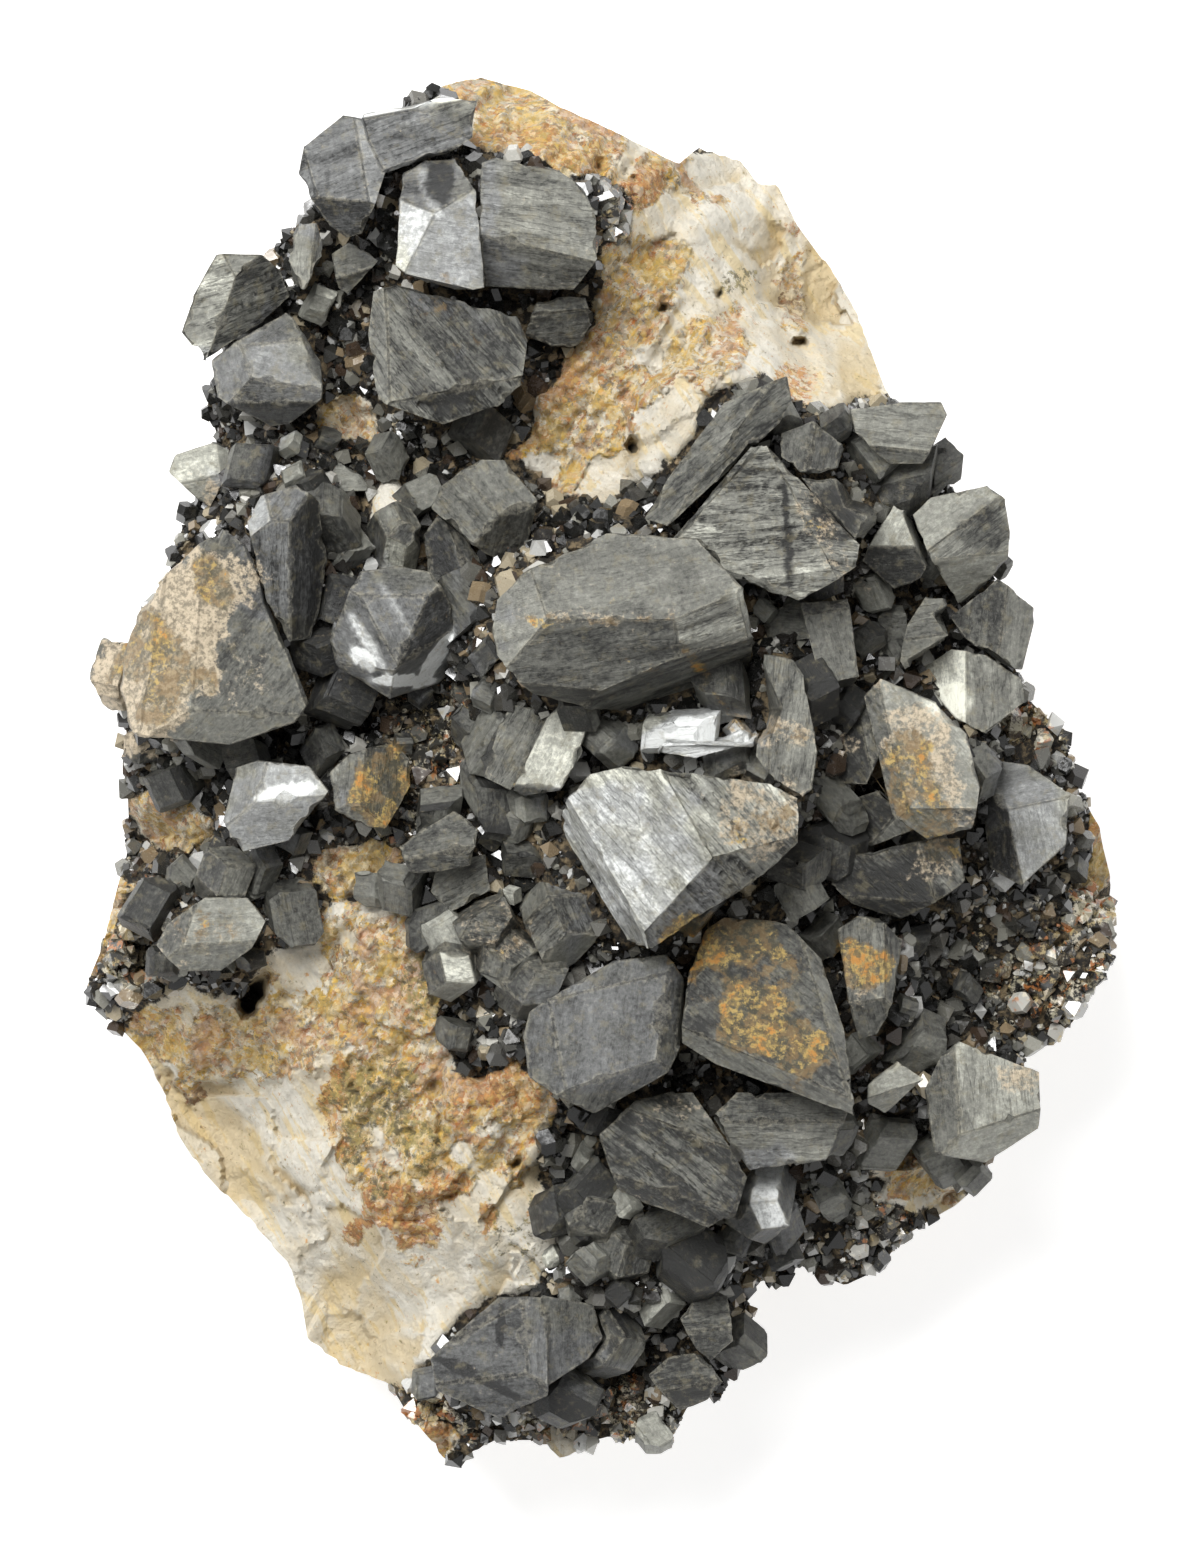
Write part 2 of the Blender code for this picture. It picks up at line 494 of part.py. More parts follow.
# The matrix: its outline from above, and the height of its surface at points on it
MATRIX_OUTLINE = [
    (-13, 55), (-12, 55.5), (-9.5, 56), (-5.5, 55), (-3, 53.5), (2.5, 51), (6.5, 49), (8, 50.5),
    (11.5, 49.5), (13, 47.5), (14.5, 47.5), (16, 44.5), (19, 40.5), (21, 37), (23, 31), (24.5, 28),
    (27, 24), (31, 20), (32, 14.5), (33, 10), (34.5, 6), (37.5, 3), (38.5, -1), (40.5, -4.5),
    (41.5, -8.5), (41.5, -12), (41, -16), (38, -20.5), (34.5, -22.5), (34, -26), (31, -31), (31, -33),
    (29, -35), (24.5, -37.5), (23, -40), (20, -41.5), (17.5, -40.5), (16.5, -39.5), (14, -41),
    (11.5, -41.5), (12.5, -45), (11, -48), (10, -50.5), (7.5, -51), (5.5, -54.5), (0, -54), (-3, -55.5),
    (-4.5, -54), (-8.5, -54), (-12, -56), (-15, -52.5), (-17, -49.5), (-21, -48), (-23.5, -46),
    (-24, -43), (-25, -40), (-28, -36.5), (-32, -32.5), (-34, -29.5), (-35.5, -25.5), (-37, -22.5),
    (-40, -19.5), (-41.5, -17.5), (-40, -14), (-39, -10), (-38, -6), (-38, -2), (-38, 1), (-38, 6),
    (-36.5, 12), (-34.5, 16), (-34, 18.5), (-32, 22), (-30.5, 26.5), (-31.5, 29.5), (-30, 33), (-29, 38),
    (-25, 43), (-21.5, 46.5), (-17.5, 51.5),
]
MATRIX_RELIEF = [
    (-9.5, 54.5, 16), (-3, 51.5, 20), (3.5, 48, 22), (10, 49.5, 18), (13.5, 46, 19), (17, 42, 14),
    (20.5, 35.5, 12), (22, 32, 13), (8, 44, 24), (4, 38, 27), (8, 33, 28), (12, 30, 28), (0, 28, 28),
    (-4, 26, 27), (0, 22, 27), (-20.5, 34, 22), (-24, 26, 21), (-16, 24, 25), (-29.5, 22.5, 16),
    (-33.5, 18, 13), (-30.5, 37, 17), (-24, 45, 17), (-16, 51.5, 17), (-36, 14, 14), (-30, 6, 20),
    (-21.5, 6, 23), (-12.5, 6, 27), (-36.5, -2, 16), (-32, 0, 19), (-20, -7, 26), (-36.5, -8.5, 15),
    (-40, -14, 10), (-40.5, -18, 8), (-32, -20, 17), (-24, -15, 22), (-18, -22, 24), (-11, -28, 26),
    (-6, -25.5, 28), (-16, -34, 24), (-20.5, -32.5, 21), (-24, -33.5, 16), (-28, -32.5, 12),
    (-32, -28.5, 10), (-35, -24.5, 9), (-21.5, -43, 12), (-14, -40.5, 20), (-8, -36.5, 24),
    (-4, -33.5, 26), (-18, -48, 11), (-8, -50, 17), (0, -50, 17), (-3, -54, 11), (8, -48.5, 14),
    (3.5, -42, 20), (0, -40, 23), (12, -44.5, 10), (-13.5, -53.5, 10), (0, 2, 31), (8, 6, 31),
    (16, -2, 30), (4, -10, 31), (0, -18, 30), (16, -18, 28), (12, -30, 26), (8, -37.5, 22),
    (20, -36.5, 17), (23.5, -32.5, 19), (29, -32.5, 13), (26.5, -26, 22), (24, -18, 25), (24, 10, 26),
    (32, 12, 19), (32, 4, 20), (35.5, 2.5, 16), (37, -10, 17), (32, -14, 21), (38.5, -16, 13),
    (40, -6, 12), (35.5, -21.5, 13), (22, 25, 22), (26.5, 23.5, 18), (16, 17, 28),
]


def material(name, colour, roughness):
    """A plain stone finish."""
    finish = bpy.data.materials.new(name)
    finish.use_nodes = True
    shader = finish.node_tree.nodes["Principled BSDF"]
    shader.inputs["Base Color"].default_value = (*colour, 1.0)
    shader.inputs["Roughness"].default_value = roughness
    shader.inputs["Metallic"].default_value = 0.0
    return finish


def leaning(toward, tilt):
    """The unit normal that leans by tilt degrees from upright toward a bearing."""
    bearing = math.radians(toward)
    lean = math.radians(tilt)
    return Vector((math.cos(bearing) * math.sin(lean), math.sin(bearing) * math.sin(lean), math.cos(lean)))


class Face:
    """A flat face: a point on it and its outward normal."""

    def __init__(self, point, normal):
        self.point = Vector(point)
        self.normal = normal.normalized()

    def height(self, x, y):
        n = self.normal
        return self.point.z - (n.x * (x - self.point.x) + n.y * (y - self.point.y)) / n.z

    def lifted(self, spot):
        return Vector((spot[0], spot[1], self.height(*spot)))


class Shape:
    """A convex solid: all its faces, and the faces of the room that it takes from what is behind it."""

    def __init__(self, faces, room):
        self.faces = faces
        self.room = room


def outward(start, end, middle):
    """The level direction across the line from start to end, away from middle."""
    across = Vector((end[1] - start[1], start[0] - end[0], 0.0)).normalized()
    centre = Vector(((start[0] + end[0]) / 2 - middle[0], (start[1] + end[1]) / 2 - middle[1], 0.0))
    return across if across.dot(centre) > 0 else -across


def folded_face(parent, bend, middle):
    """The face on the far side of a bend, which turns down from its parent about their shared edge."""
    start = parent.lifted(bend["start"])
    end = parent.lifted(bend["end"])
    away = outward(bend["start"], bend["end"], middle)
    axis = (end - start).normalized()
    turned = [Quaternion(axis, math.radians(side * bend["angle"])) @ parent.normal for side in (1, -1)]
    return Face(start, max(turned, key=away.dot))


def side_face(start, end, faces, middle):
    """A steep side below one stretch of the outline, undercut a little."""
    spot = ((start[0] + end[0]) / 2, (start[1] + end[1]) / 2)
    level = min(face.height(*spot) for face in faces)
    away = outward(start, end, middle)
    lean = math.radians(UNDERCUT)
    return Face((*spot, level), away * math.cos(lean) - Vector((0, 0, math.sin(lean))))


def convex_outline(points):
    """The corners of an outline, in order round it, without any that lie inside."""
    flat = [Vector(p) for p in points]
    return [tuple(flat[i]) for i in convex_hull_2d(flat)]


def mean_point(corners):
    """The mean of a list of corners."""
    return (sum(p[0] for p in corners) / len(corners), sum(p[1] for p in corners) / len(corners))


def width_of(corners):
    """The width of a round shape with the same area as an outline."""
    area = sum(a[0] * b[1] - b[0] * a[1] for a, b in zip(corners, corners[1:] + corners[:1])) / 2
    return 2 * math.sqrt(abs(area) / math.pi)


def side_faces(corners, upper):
    """The sides below every stretch of an outline."""
    middle = mean_point(corners)
    return [side_face(start, end, upper, middle) for start, end in zip(corners, corners[1:] + corners[:1])]


def belly_faces(corners, upper):
    """Slanting faces that close a crystal below, in toward its root."""
    middle = Vector(mean_point(corners))
    depth = BELLY * width_of(corners)
    faces = []
    for turn in range(BELLY_SIDES):
        bearing = turn * math.tau / BELLY_SIDES + middle.x
        away = Vector((math.cos(bearing), math.sin(bearing)))
        spot = max((Vector(corner) for corner in corners), key=away.dot)
        level = min(face.height(*spot) for face in upper) - depth
        faces.append(Face((*spot, level), Vector((*away, -1.0))))
    return faces


def lobe_faces(plan):
    """The upper faces of one crystal drawn from above, and its sides with its foot."""
    corners = convex_outline(plan["outline"])
    faces = [Face(plan["top"], leaning(plan["toward"], plan["tilt"]))]
    for bend in plan["folds"]:
        faces.append(folded_face(faces[bend["on"]], bend, plan["top"]))
    sides = side_faces(corners, faces)
    rock = [Vector(p) for p in MATRIX_OUTLINE]
    if not all(inside(Vector(corner), rock) for corner in corners):
        sides += belly_faces(corners, faces)
    middle = mean_point(corners)
    floor = surface_height(*middle) - ROOT_DEPTH
    sides.append(Face((*middle, floor), Vector((0, 0, -1))))
    return Shape(faces + sides, sides)


def regular_faces(plan, foot=None):
    """Every face of one regular garnet whose tip touches a given point."""
    upright = THREE_FOLD.rotation_difference(Vector((0, 0, 1)))
    spin = Quaternion((0, 0, 1), math.radians(plan["spin"]))
    lean = Vector((0, 0, 1)).rotation_difference(leaning(plan["toward"], plan["tilt"]))
    turn = lean @ spin @ upright
    axis = lean @ Vector((0, 0, 1))
    normals = [turn @ n for n in RHOMB]
    reach = [plan["radius"] * (1 + abs(n.dot(axis)) * plan["stretch"]) for n in normals]
    centre = Vector(plan["tip"]) - Vector((0, 0, plan["radius"] * (1.1 + plan["stretch"])))
    faces = [Face(centre + n * d, n) for n, d in zip(normals, reach)]
    if foot is not None:
        faces = root_faces(faces, normals, centre, foot)
    return Shape(faces, faces)


def root_faces(faces, normals, centre, foot):
    """The faces of a garnet drawn down to a foot that is sunk in the matrix."""
    kept = [face for face, n in zip(faces, normals) if n.z > UPPER_FACES]
    kept.append(Face((centre.x, centre.y, foot), Vector((0, 0, -1))))
    turns = [i * math.tau / ROOT_SIDES for i in range(ROOT_SIDES)]
    sides = [Vector((math.cos(turn), math.sin(turn), -ROOT_LEAN)) for turn in turns]
    width = max((centre - face.point).length for face in faces)
    return kept + [Face(centre + side.normalized() * width, side) for side in sides]


def solid_from_faces(faces, grow=0.0):
    """The closed mesh behind all the faces, each moved out by grow."""
    mesh = bmesh.new()
    middle = sum((face.point for face in faces), Vector()) / len(faces)
    bmesh.ops.create_cube(mesh, size=BLOCK, matrix=Matrix.Translation(middle))
    for face in faces:
        everything = mesh.verts[:] + mesh.edges[:] + mesh.faces[:]
        bmesh.ops.bisect_plane(mesh, geom=everything, dist=MERGE / 10, plane_no=face.normal,
                               plane_co=face.point + face.normal * grow, clear_outer=True)
        rim = [edge for edge in mesh.edges if edge.is_boundary]
        if rim:
            bmesh.ops.contextual_create(mesh, geom=rim)
    bmesh.ops.remove_doubles(mesh, verts=mesh.verts[:], dist=MERGE)
    bmesh.ops.recalc_face_normals(mesh, faces=mesh.faces[:])
    return mesh


def add_object(name, mesh):
    """A named object, in metres, from a mesh in millimetres."""
    data = bpy.data.meshes.new(name)
    mesh.to_mesh(data)
    mesh.free()
    data.transform(Matrix.Scale(MM, 4))
    item = bpy.data.objects.new(name, data)
    bpy.context.scene.collection.objects.link(item)
    return item


def boolean(item, other, operation):
    """Join or cut an object by another, which is then removed."""
    step = item.modifiers.new("step", "BOOLEAN")
    step.operation = operation
    step.solver = "EXACT"
    step.object = other
    graph = bpy.context.evaluated_depsgraph_get()
    result = bpy.data.meshes.new_from_object(item.evaluated_get(graph))
    item.modifiers.clear()
    old = item.data
    item.data = result
    bpy.data.meshes.remove(old)
    bpy.data.objects.remove(other)


def shell_volume(faces):
    """The volume inside a closed set of faces."""
    total = 0.0
    for face in faces:
        first = face.verts[0].co
        for a, b in zip(face.verts[1:-1], face.verts[2:]):
            total += first.dot(a.co.cross(b.co)) / 6
    return abs(total)


def shells(mesh):
    """The separate closed bodies of a mesh, as lists of faces."""
    waiting = set(mesh.faces)
    found = []
    while waiting:
        stack = [waiting.pop()]
        body = []
        while stack:
            face = stack.pop()
            body.append(face)
            beside = {other for edge in face.edges for other in edge.link_faces} & waiting
            waiting -= beside
            stack.extend(beside)
        found.append(body)
    return found


def keep_largest(item):
    """Drop the crumbs that a cut leaves, and the slivers along its edges."""
    mesh = bmesh.new()
    mesh.from_mesh(item.data)
    bodies = shells(mesh)
    largest = max(bodies, key=shell_volume)
    crumbs = [face for body in bodies if body is not largest for face in body]
    bmesh.ops.delete(mesh, geom=crumbs, context="FACES")
    bmesh.ops.remove_doubles(mesh, verts=mesh.verts[:], dist=MERGE * MM)
    bmesh.ops.triangulate(mesh, faces=mesh.faces[:])
    mesh.to_mesh(item.data)
    mesh.free()


def bounds(item):
    """The lowest and highest corner of an object's mesh."""
    points = [v.co for v in item.data.vertices]
    low = Vector([min(p[i] for p in points) for i in range(3)])
    high = Vector([max(p[i] for p in points) for i in range(3)])
    return low, high


def near(one, two):
    """Whether two boxes overlap."""
    return all(one[0][i] < two[1][i] and two[0][i] < one[1][i] for i in range(3))


def cut_by(item, shapes, margin):
    """Cut an object by the room of each shape near it, with a clearance of margin."""
    for shape in shapes:
        cutter = add_object("cutter", solid_from_faces(shape.room, margin))
        if near(bounds(item), bounds(cutter)):
            boolean(item, cutter, "DIFFERENCE")
        else:
            bpy.data.objects.remove(cutter)


@functools.cache
def relief_points():
    """Where the height of the rock is known: the table, the rim, and under each crystal."""
    points = list(MATRIX_RELIEF)
    for x, y in MATRIX_OUTLINE:
        points.append((x, y, RIM_HEIGHT + RIM_WAVES * noise.noise(Vector((x, y, SEED)) / RIM_PITCH)))
    for plan in (plan for lobes in GARNETS.values() for plan in lobes):
        corners = convex_outline(plan["outline"])
        points.append((*mean_point(corners), plan["top"][2] - BURIAL * width_of(corners)))
    for plan in (plan for group in REGULAR_GARNETS.values() for plan in group):
        x, y, tip = plan["tip"]
        points.append((x, y, tip - BURIAL * 2 * plan["radius"] * (1 + plan["stretch"])))
    return points


def surface_height(x, y):
    """The height of the matrix surface, smoothed between the relief points around it."""
    total = 0.0
    weight = 0.0
    for px, py, pz in relief_points():
        share = 1.0 / ((px - x) ** 2 + (py - y) ** 2 + 1.0) ** RELIEF_POWER
        total += share * pz
        weight += share
    return total / weight


def edge_distance(spot, corners):
    """The distance from a point to the outline."""
    best = 1e9
    for start, end in zip(corners, corners[1:] + corners[:1]):
        run = end - start
        along = max(0.0, min(1.0, (spot - start).dot(run) / run.length_squared))
        best = min(best, (spot - start - run * along).length)
    return best


def inside(spot, corners):
    """Whether a point is inside the outline."""
    odd = False
    for a, b in zip(corners, corners[1:] + corners[:1]):
        if (a.y > spot.y) != (b.y > spot.y):
            if spot.x < (b.x - a.x) * (spot.y - a.y) / (b.y - a.y) + a.x:
                odd = not odd
    return odd


def fine_outline():
    """The matrix outline with points at an even spacing."""
    corners = [Vector(p) for p in MATRIX_OUTLINE]
    points = []
    for start, end in zip(corners, corners[1:] + corners[:1]):
        steps = max(1, round((end - start).length / EDGE_SPACING))
        points += [start.lerp(end, i / steps) for i in range(steps)]
    return points


def surface_points(corners, dice):
    """Scattered points inside the outline, in staggered rows."""
    points = []
    half = BLOCK / 2
    for row in range(int(BLOCK / ROW_SPACING)):
        for column in range(int(BLOCK / SURFACE_SPACING)):
            x = (column + 0.5 * (row % 2)) * SURFACE_SPACING - half
            y = row * ROW_SPACING - half
            spot = Vector((x + dice.uniform(-SCATTER, SCATTER), y + dice.uniform(-SCATTER, SCATTER)))
            if inside(spot, corners) and edge_distance(spot, corners) > CLEAR_OF_EDGE:
                points.append(spot)
    return points


def rock_height(spot, corners):
    """The height of the matrix at a point, with its lumps and its rounded rim."""
    rim = max(0.0, 1.0 - edge_distance(spot, corners) / RIM_WIDTH)
    lumps = noise.noise(Vector((spot.x / LUMP_PITCH, spot.y / LUMP_PITCH, SEED))) * LUMP_HEIGHT
    return surface_height(spot.x, spot.y) + lumps - RIM_DROP * rim * rim


def rock_mesh():
    """The closed mesh of the matrix: surface, sides and flat back."""
    dice = random.Random(SEED)
    corners = fine_outline()
    count = len(corners)
    spots = corners + surface_points(corners, dice)
    edges = [(i, (i + 1) % count) for i in range(count)]
    spots, _, faces, *_ = delaunay_2d_cdt(spots, edges, [], 1, MERGE)
    mesh = bmesh.new()
    top = [mesh.verts.new((p.x, p.y, rock_height(p, corners))) for p in spots]
    for face in faces:
        mesh.faces.new([top[i] for i in face])
    ring = top[:count]
    for level, (scale, rise) in enumerate(SIDE_RINGS):
        lower = []
        for i, corner in enumerate(corners):
            chips = noise.noise(Vector((corner.x / SIDE_PITCH, corner.y / SIDE_PITCH, level * SEED)))
            reach = scale * (1 + SIDE_ROUGHNESS * chips)
            lower.append(mesh.verts.new((corner.x * reach, corner.y * reach, top[i].co.z * rise)))
        for i in range(count):
            j = (i + 1) % count
            mesh.faces.new((ring[i], ring[j], lower[j], lower[i]))
        ring = lower
    mesh.faces.new(ring)
    bmesh.ops.triangulate(mesh, faces=mesh.faces[:])
    bmesh.ops.recalc_face_normals(mesh, faces=mesh.faces[:])
    return mesh


def druse_shapes(plan, dice):
    """The carpet of a crust and the small garnets that stand in it."""
    top = Face(plan["top"], leaning(plan["toward"], plan["tilt"]))
    corners = convex_outline(plan["outline"])
    under = Face(top.point - top.normal * CARPET, -top.normal)
    sides = side_faces(corners, [top])
    bed = [Face(side.point + side.normal * BED_MARGIN, side.normal) for side in sides]
    shapes = [Shape([top, under] + sides, [under] + bed)]
    hull = [Vector(p) for p in corners]
    while len(shapes) <= plan["crystals"]:
        spot = Vector((dice.uniform(min(p.x for p in hull), max(p.x for p in hull)),
                       dice.uniform(min(p.y for p in hull), max(p.y for p in hull))))
        radius = dice.uniform(*DRUSE_RADIUS)
        if not inside(spot, hull) or edge_distance(spot, hull) < DRUSE_INSET:
            continue
        tip = (spot.x, spot.y, top.height(*spot) + radius * DRUSE_STAND)
        shapes.append(regular_faces(small(*tip, radius, dice.uniform(0, 360), dice.uniform(0, DRUSE_TILT),
                                          dice.uniform(0, 120), 0.0)))
    return shapes


def joined(name, shapes):
    """One object from overlapping convex shapes."""
    item = add_object(name, solid_from_faces(shapes[0].faces))
    for shape in shapes[1:]:
        boolean(item, add_object("part", solid_from_faces(shape.faces)), "UNION")
    return item


def finished(item, finish):
    """Clean the mesh of an object and give it its material."""
    keep_largest(item)
    item.data.materials.clear()
    item.data.materials.append(finish)


def build_garnets(finish):
    """All the large and middling crystals, each cut back where it meets one in front of it."""
    built = []
    shapes_in_front = []
    plans = {name: [lobe_faces(plan) for plan in lobes] for name, lobes in GARNETS.items()}
    for name, group in REGULAR_GARNETS.items():
        feet = [surface_height(plan["tip"][0], plan["tip"][1]) - ROOT_DEPTH for plan in group]
        plans[name] = [regular_faces(plan, foot) for plan, foot in zip(group, feet)]
    for name, shapes in plans.items():
        item = joined(name, shapes)
        cut_by(item, shapes_in_front, GAP)
        finished(item, finish)
        shapes_in_front += shapes
        built.append(item)
    return built, shapes_in_front


def build_crusts(finish, garnets):
    """The patches of druse, cut clear of the crystals that stand in them."""
    dice = random.Random(SEED + 1)
    built = []
    beds = []
    for name, plan in CRUSTS.items():
        shapes = druse_shapes(plan, dice)
        item = joined(name, shapes)
        boolean(item, add_object("bed", solid_from_faces(shapes[0].room)), "INTERSECT")
        cut_by(item, garnets + beds, GAP)
        finished(item, finish)
        beds.append(shapes[0])
        built.append(item)
    return built, beds


def build_matrix(finish, garnets, beds):
    """The rock, with a socket for each crystal and a bed for each crust."""
    item = add_object("matrix", rock_mesh())
    cut_by(item, garnets + beds, GAP)
    finished(item, finish)
    return item


def stand_on_origin(items):
    """Put the middle of the whole specimen over the origin, with its lowest point at height 0."""
    lows, highs = zip(*(bounds(item) for item in items))
    low = [min(p[i] for p in lows) for i in range(3)]
    high = [max(p[i] for p in highs) for i in range(3)]
    shift = Matrix.Translation((-(low[0] + high[0]) / 2, -(low[1] + high[1]) / 2, -low[2]))
    for item in items:
        item.data.transform(shift)


def main():
    for item in list(bpy.data.objects):
        bpy.data.objects.remove(item)
    garnet_finish = material("garnet_grey_black", (0.12, 0.125, 0.12), 0.45)
    druse_finish = material("druse_black", (0.04, 0.04, 0.04), 0.2)
    rock_finish = material("matrix_cream_ochre", (0.62, 0.5, 0.33), 0.9)
    garnets, garnet_shapes = build_garnets(garnet_finish)
    crusts, beds = build_crusts(druse_finish, garnet_shapes)
    rock = build_matrix(rock_finish, garnet_shapes, beds)
    stand_on_origin([rock] + garnets + crusts)


main()
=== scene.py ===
"""The looks of a black garnet specimen: striated crystals and black druse on a cream and ochre rock.

Tables are in millimetres in the frame's axes: X to the right and Y up the view from above, with Z
up from the surface that the specimen lies on. Bearings are degrees from X toward Y.
"""
import math
import random
from itertools import product

import bmesh
import bpy
import numpy as np
from mathutils import Matrix, Quaternion, Vector
from mathutils.bvhtree import BVHTree
from mathutils.geometry import delaunay_2d_cdt


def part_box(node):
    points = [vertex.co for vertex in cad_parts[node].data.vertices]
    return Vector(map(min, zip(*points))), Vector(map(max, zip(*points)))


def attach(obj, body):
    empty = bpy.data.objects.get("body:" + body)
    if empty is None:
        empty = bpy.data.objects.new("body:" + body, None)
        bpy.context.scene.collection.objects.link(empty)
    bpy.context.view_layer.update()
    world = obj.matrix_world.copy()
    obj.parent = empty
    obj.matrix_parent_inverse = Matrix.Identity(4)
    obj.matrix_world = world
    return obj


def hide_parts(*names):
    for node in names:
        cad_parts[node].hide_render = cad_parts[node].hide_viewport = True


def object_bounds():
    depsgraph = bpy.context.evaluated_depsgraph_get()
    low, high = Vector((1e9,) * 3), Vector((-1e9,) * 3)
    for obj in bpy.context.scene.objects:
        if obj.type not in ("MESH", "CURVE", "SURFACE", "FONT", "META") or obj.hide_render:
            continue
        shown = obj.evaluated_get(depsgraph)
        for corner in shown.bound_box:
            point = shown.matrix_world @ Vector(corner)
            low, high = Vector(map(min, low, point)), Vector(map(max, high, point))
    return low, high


MM = 0.001
SEED = 29
# Higher than all of the specimen, and further out than its sides
SKY = 80.0
DOWN = Vector((0, 0, -1))

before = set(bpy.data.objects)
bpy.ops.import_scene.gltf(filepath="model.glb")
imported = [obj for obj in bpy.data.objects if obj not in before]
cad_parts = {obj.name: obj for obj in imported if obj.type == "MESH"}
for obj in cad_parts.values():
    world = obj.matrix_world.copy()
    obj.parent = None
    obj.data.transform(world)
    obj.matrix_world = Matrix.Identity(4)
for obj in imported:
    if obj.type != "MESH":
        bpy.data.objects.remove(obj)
cad_low, cad_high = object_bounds()

# Grid of the ground heights
GRID = 0.5
GRID_X = np.arange(-44.0, 44.01, GRID)
GRID_Y = np.arange(-58.5, 58.51, GRID)

# The ground climbs to each crystal: how much of it stays bare, and how steeply the ground falls away
BARE_LEAST = 3.0
BARE_SHARE = 0.5
CLIMB = 2.0

# Rock: spacing of its points, how many lie round its rim, and the rows down its sides
ROCK_STEP = 0.33
RIM_POINTS = 900
SIDE_ROWS = 26

# Crystal faces: width of the worn edges, and spacing of the points across the grain, along it and on edges
EDGE_WIDTH = 0.12
ACROSS = 0.25
ALONG = 0.7
EDGE_STEP = 0.4
# Faces whose normals rise less than UPWARD have wider spacing, and undersides have no inner points
UPWARD = 0.15
SIDE_SPACING = 1.8
UNDERSIDE = -0.9

# Bare rock seen from above: the top end, and the lower left
BARE_TOP = [(-13.4, 55.8), (-6.2, 56.2), (7.4, 49.8), (11.4, 51), (16.2, 47.4), (21.8, 37.8), (24.5, 30.2),
            (16.2, 29.8), (13, 32.2), (8.2, 28.2), (4.2, 23.4), (-3, 21.8), (-7.4, 25.4), (-3, 30.6),
            (-0.6, 36.2), (0.2, 41), (4.2, 45.8), (0.2, 47.4), (-4.6, 49), (-10.2, 49.8)]
BARE_LOW = [(-43, -17), (-39, -20.6), (-33.4, -17), (-28.6, -18.2), (-21.4, -10.6), (-15.8, -10.2),
            (-12.6, -15), (-13.4, -19), (-11, -24.6), (-6.2, -22.2), (-3, -27), (-5.4, -32.6), (-3, -36.6),
            (-4.6, -41.4), (-9.4, -42.2), (-15.8, -50), (-24, -50), (-26, -41.4), (-33, -33.4),
            (-39, -24.6), (-43, -19)]

# Patches of colour on the rock: x, y, half length, half width, bearing, strength
BARE_SPOTS = [(-19.8, -7.8, 3.4, 2.6, 0, 1), (-34.6, -4, 3.2, 2.4, 0, 1), (40.8, -5.5, 4.6, 1.3, 82, 1),
              (-19.8, 28.4, 2.6, 1.8, 0, 1), (-16.8, 20.8, 2.6, 1.3, 90, 1), (26, -33.4, 4.2, 2.6, -20, 1),
              (-40.6, -11.5, 7.5, 1.7, 78, 1), (-13.4, -54.2, 2.6, 1.6, 0, 1), (-2.9, -55, 1.6, 1.4, 0, 1),
              (-36, 20, 2.2, 2, 0, 0.6)]
OCHRE_SPOTS = [(-3, 51.4, 9, 3.4, -26, 1), (0.2, 33, 11, 4.4, 61, 1), (8.2, 33.8, 4.5, 3, 30, 0.6),
               (15.8, 39.5, 5, 1.3, 90, 0.5), (-27.8, -21.4, 14, 3.8, 3, 0.9), (-15.8, -25, 6.5, 10, 0, 1),
               (-7.8, -25.4, 5, 6, 0, 1), (-19.8, -7.8, 4, 3.2, 0, 1), (-34.6, -4, 3.2, 2.6, 0, 0.7),
               (-17.4, -13.4, 5, 5, 0, 0.9), (39.6, -6.6, 5, 2.4, 90, 1), (-39, -17, 3, 4, 0, 1),
               (-40.6, -11.5, 7.5, 2.2, 78, 0.8), (-19.8, 28.4, 3, 2, 0, 0.5),
               (25.8, -33.2, 3.2, 2.2, -20, 0.9), (-13.4, -54.2, 3, 2, 0, 0.9)]
RUST_SPOTS = [(3.4, 47.2, 1.6, 1.6, 0, 1), (-3.5, 49.6, 5, 1.4, -20, 0.8), (-3.2, 31, 7, 1.8, 58, 0.8),
              (16.2, 31.4, 2.2, 1.4, 0, 0.9), (-15.8, -35, 4.6, 2.4, 0, 1), (-7.8, -24, 4, 4, 0, 0.9),
              (-21.3, -27, 6, 1.2, 85, 0.9), (-39.5, -17, 3.4, 2, 70, 1), (-31, -21.5, 6, 2, 10, 0.5),
              (38.5, -3.5, 2.5, 1.6, 90, 0.9), (-13.4, -54.5, 2.4, 1.4, 0, 1)]
OLIVE_SPOTS = [(-18.2, -27.6, 3.2, 4.6, 20, 0.8), (-14.5, -30, 2.2, 2.4, 0, 0.6),
               (10.5, 39.5, 2.2, 1.2, 45, 0.7), (-12.8, -16.5, 2.2, 3.2, 60, 0.8), (-5, -37, 4, 2, 60, 0.5)]
# The cream rock's flutes: the point that the upper ones fan out from, and where flutes show, in the same form
FAN = (13.0, 53.0)
FLUTES = [(19.3, 33.5, 12, 4.4, -71, 1), (-31, -31, 15, 4.5, -52, 0.9), (-20, -44, 8, 4, -50, 0.8)]
# Hollows in the rock, in the same form
HOLLOWS = [(-28, -18.4, 2.0, 1.1, 70, 1), (-10.6, -21.6, 3, 1.3, 105, 1), (-36, -14, 2.6, 1.4, 80, 1),
           (9.7, 38.4, 0.6, 0.3, 60, 0.4), (5.3, 37.2, 0.5, 0.3, 0, 0.4), (16.2, 34.6, 0.6, 0.4, 0, 0.5),
           (-6.5, -31.4, 0.5, 0.3, 40, 0.4), (-3.5, 38.5, 0.8, 0.5, 60, 0.4), (3, 26, 0.8, 0.5, 90, 0.5)]
HOLLOW_DEPTH = 5.0

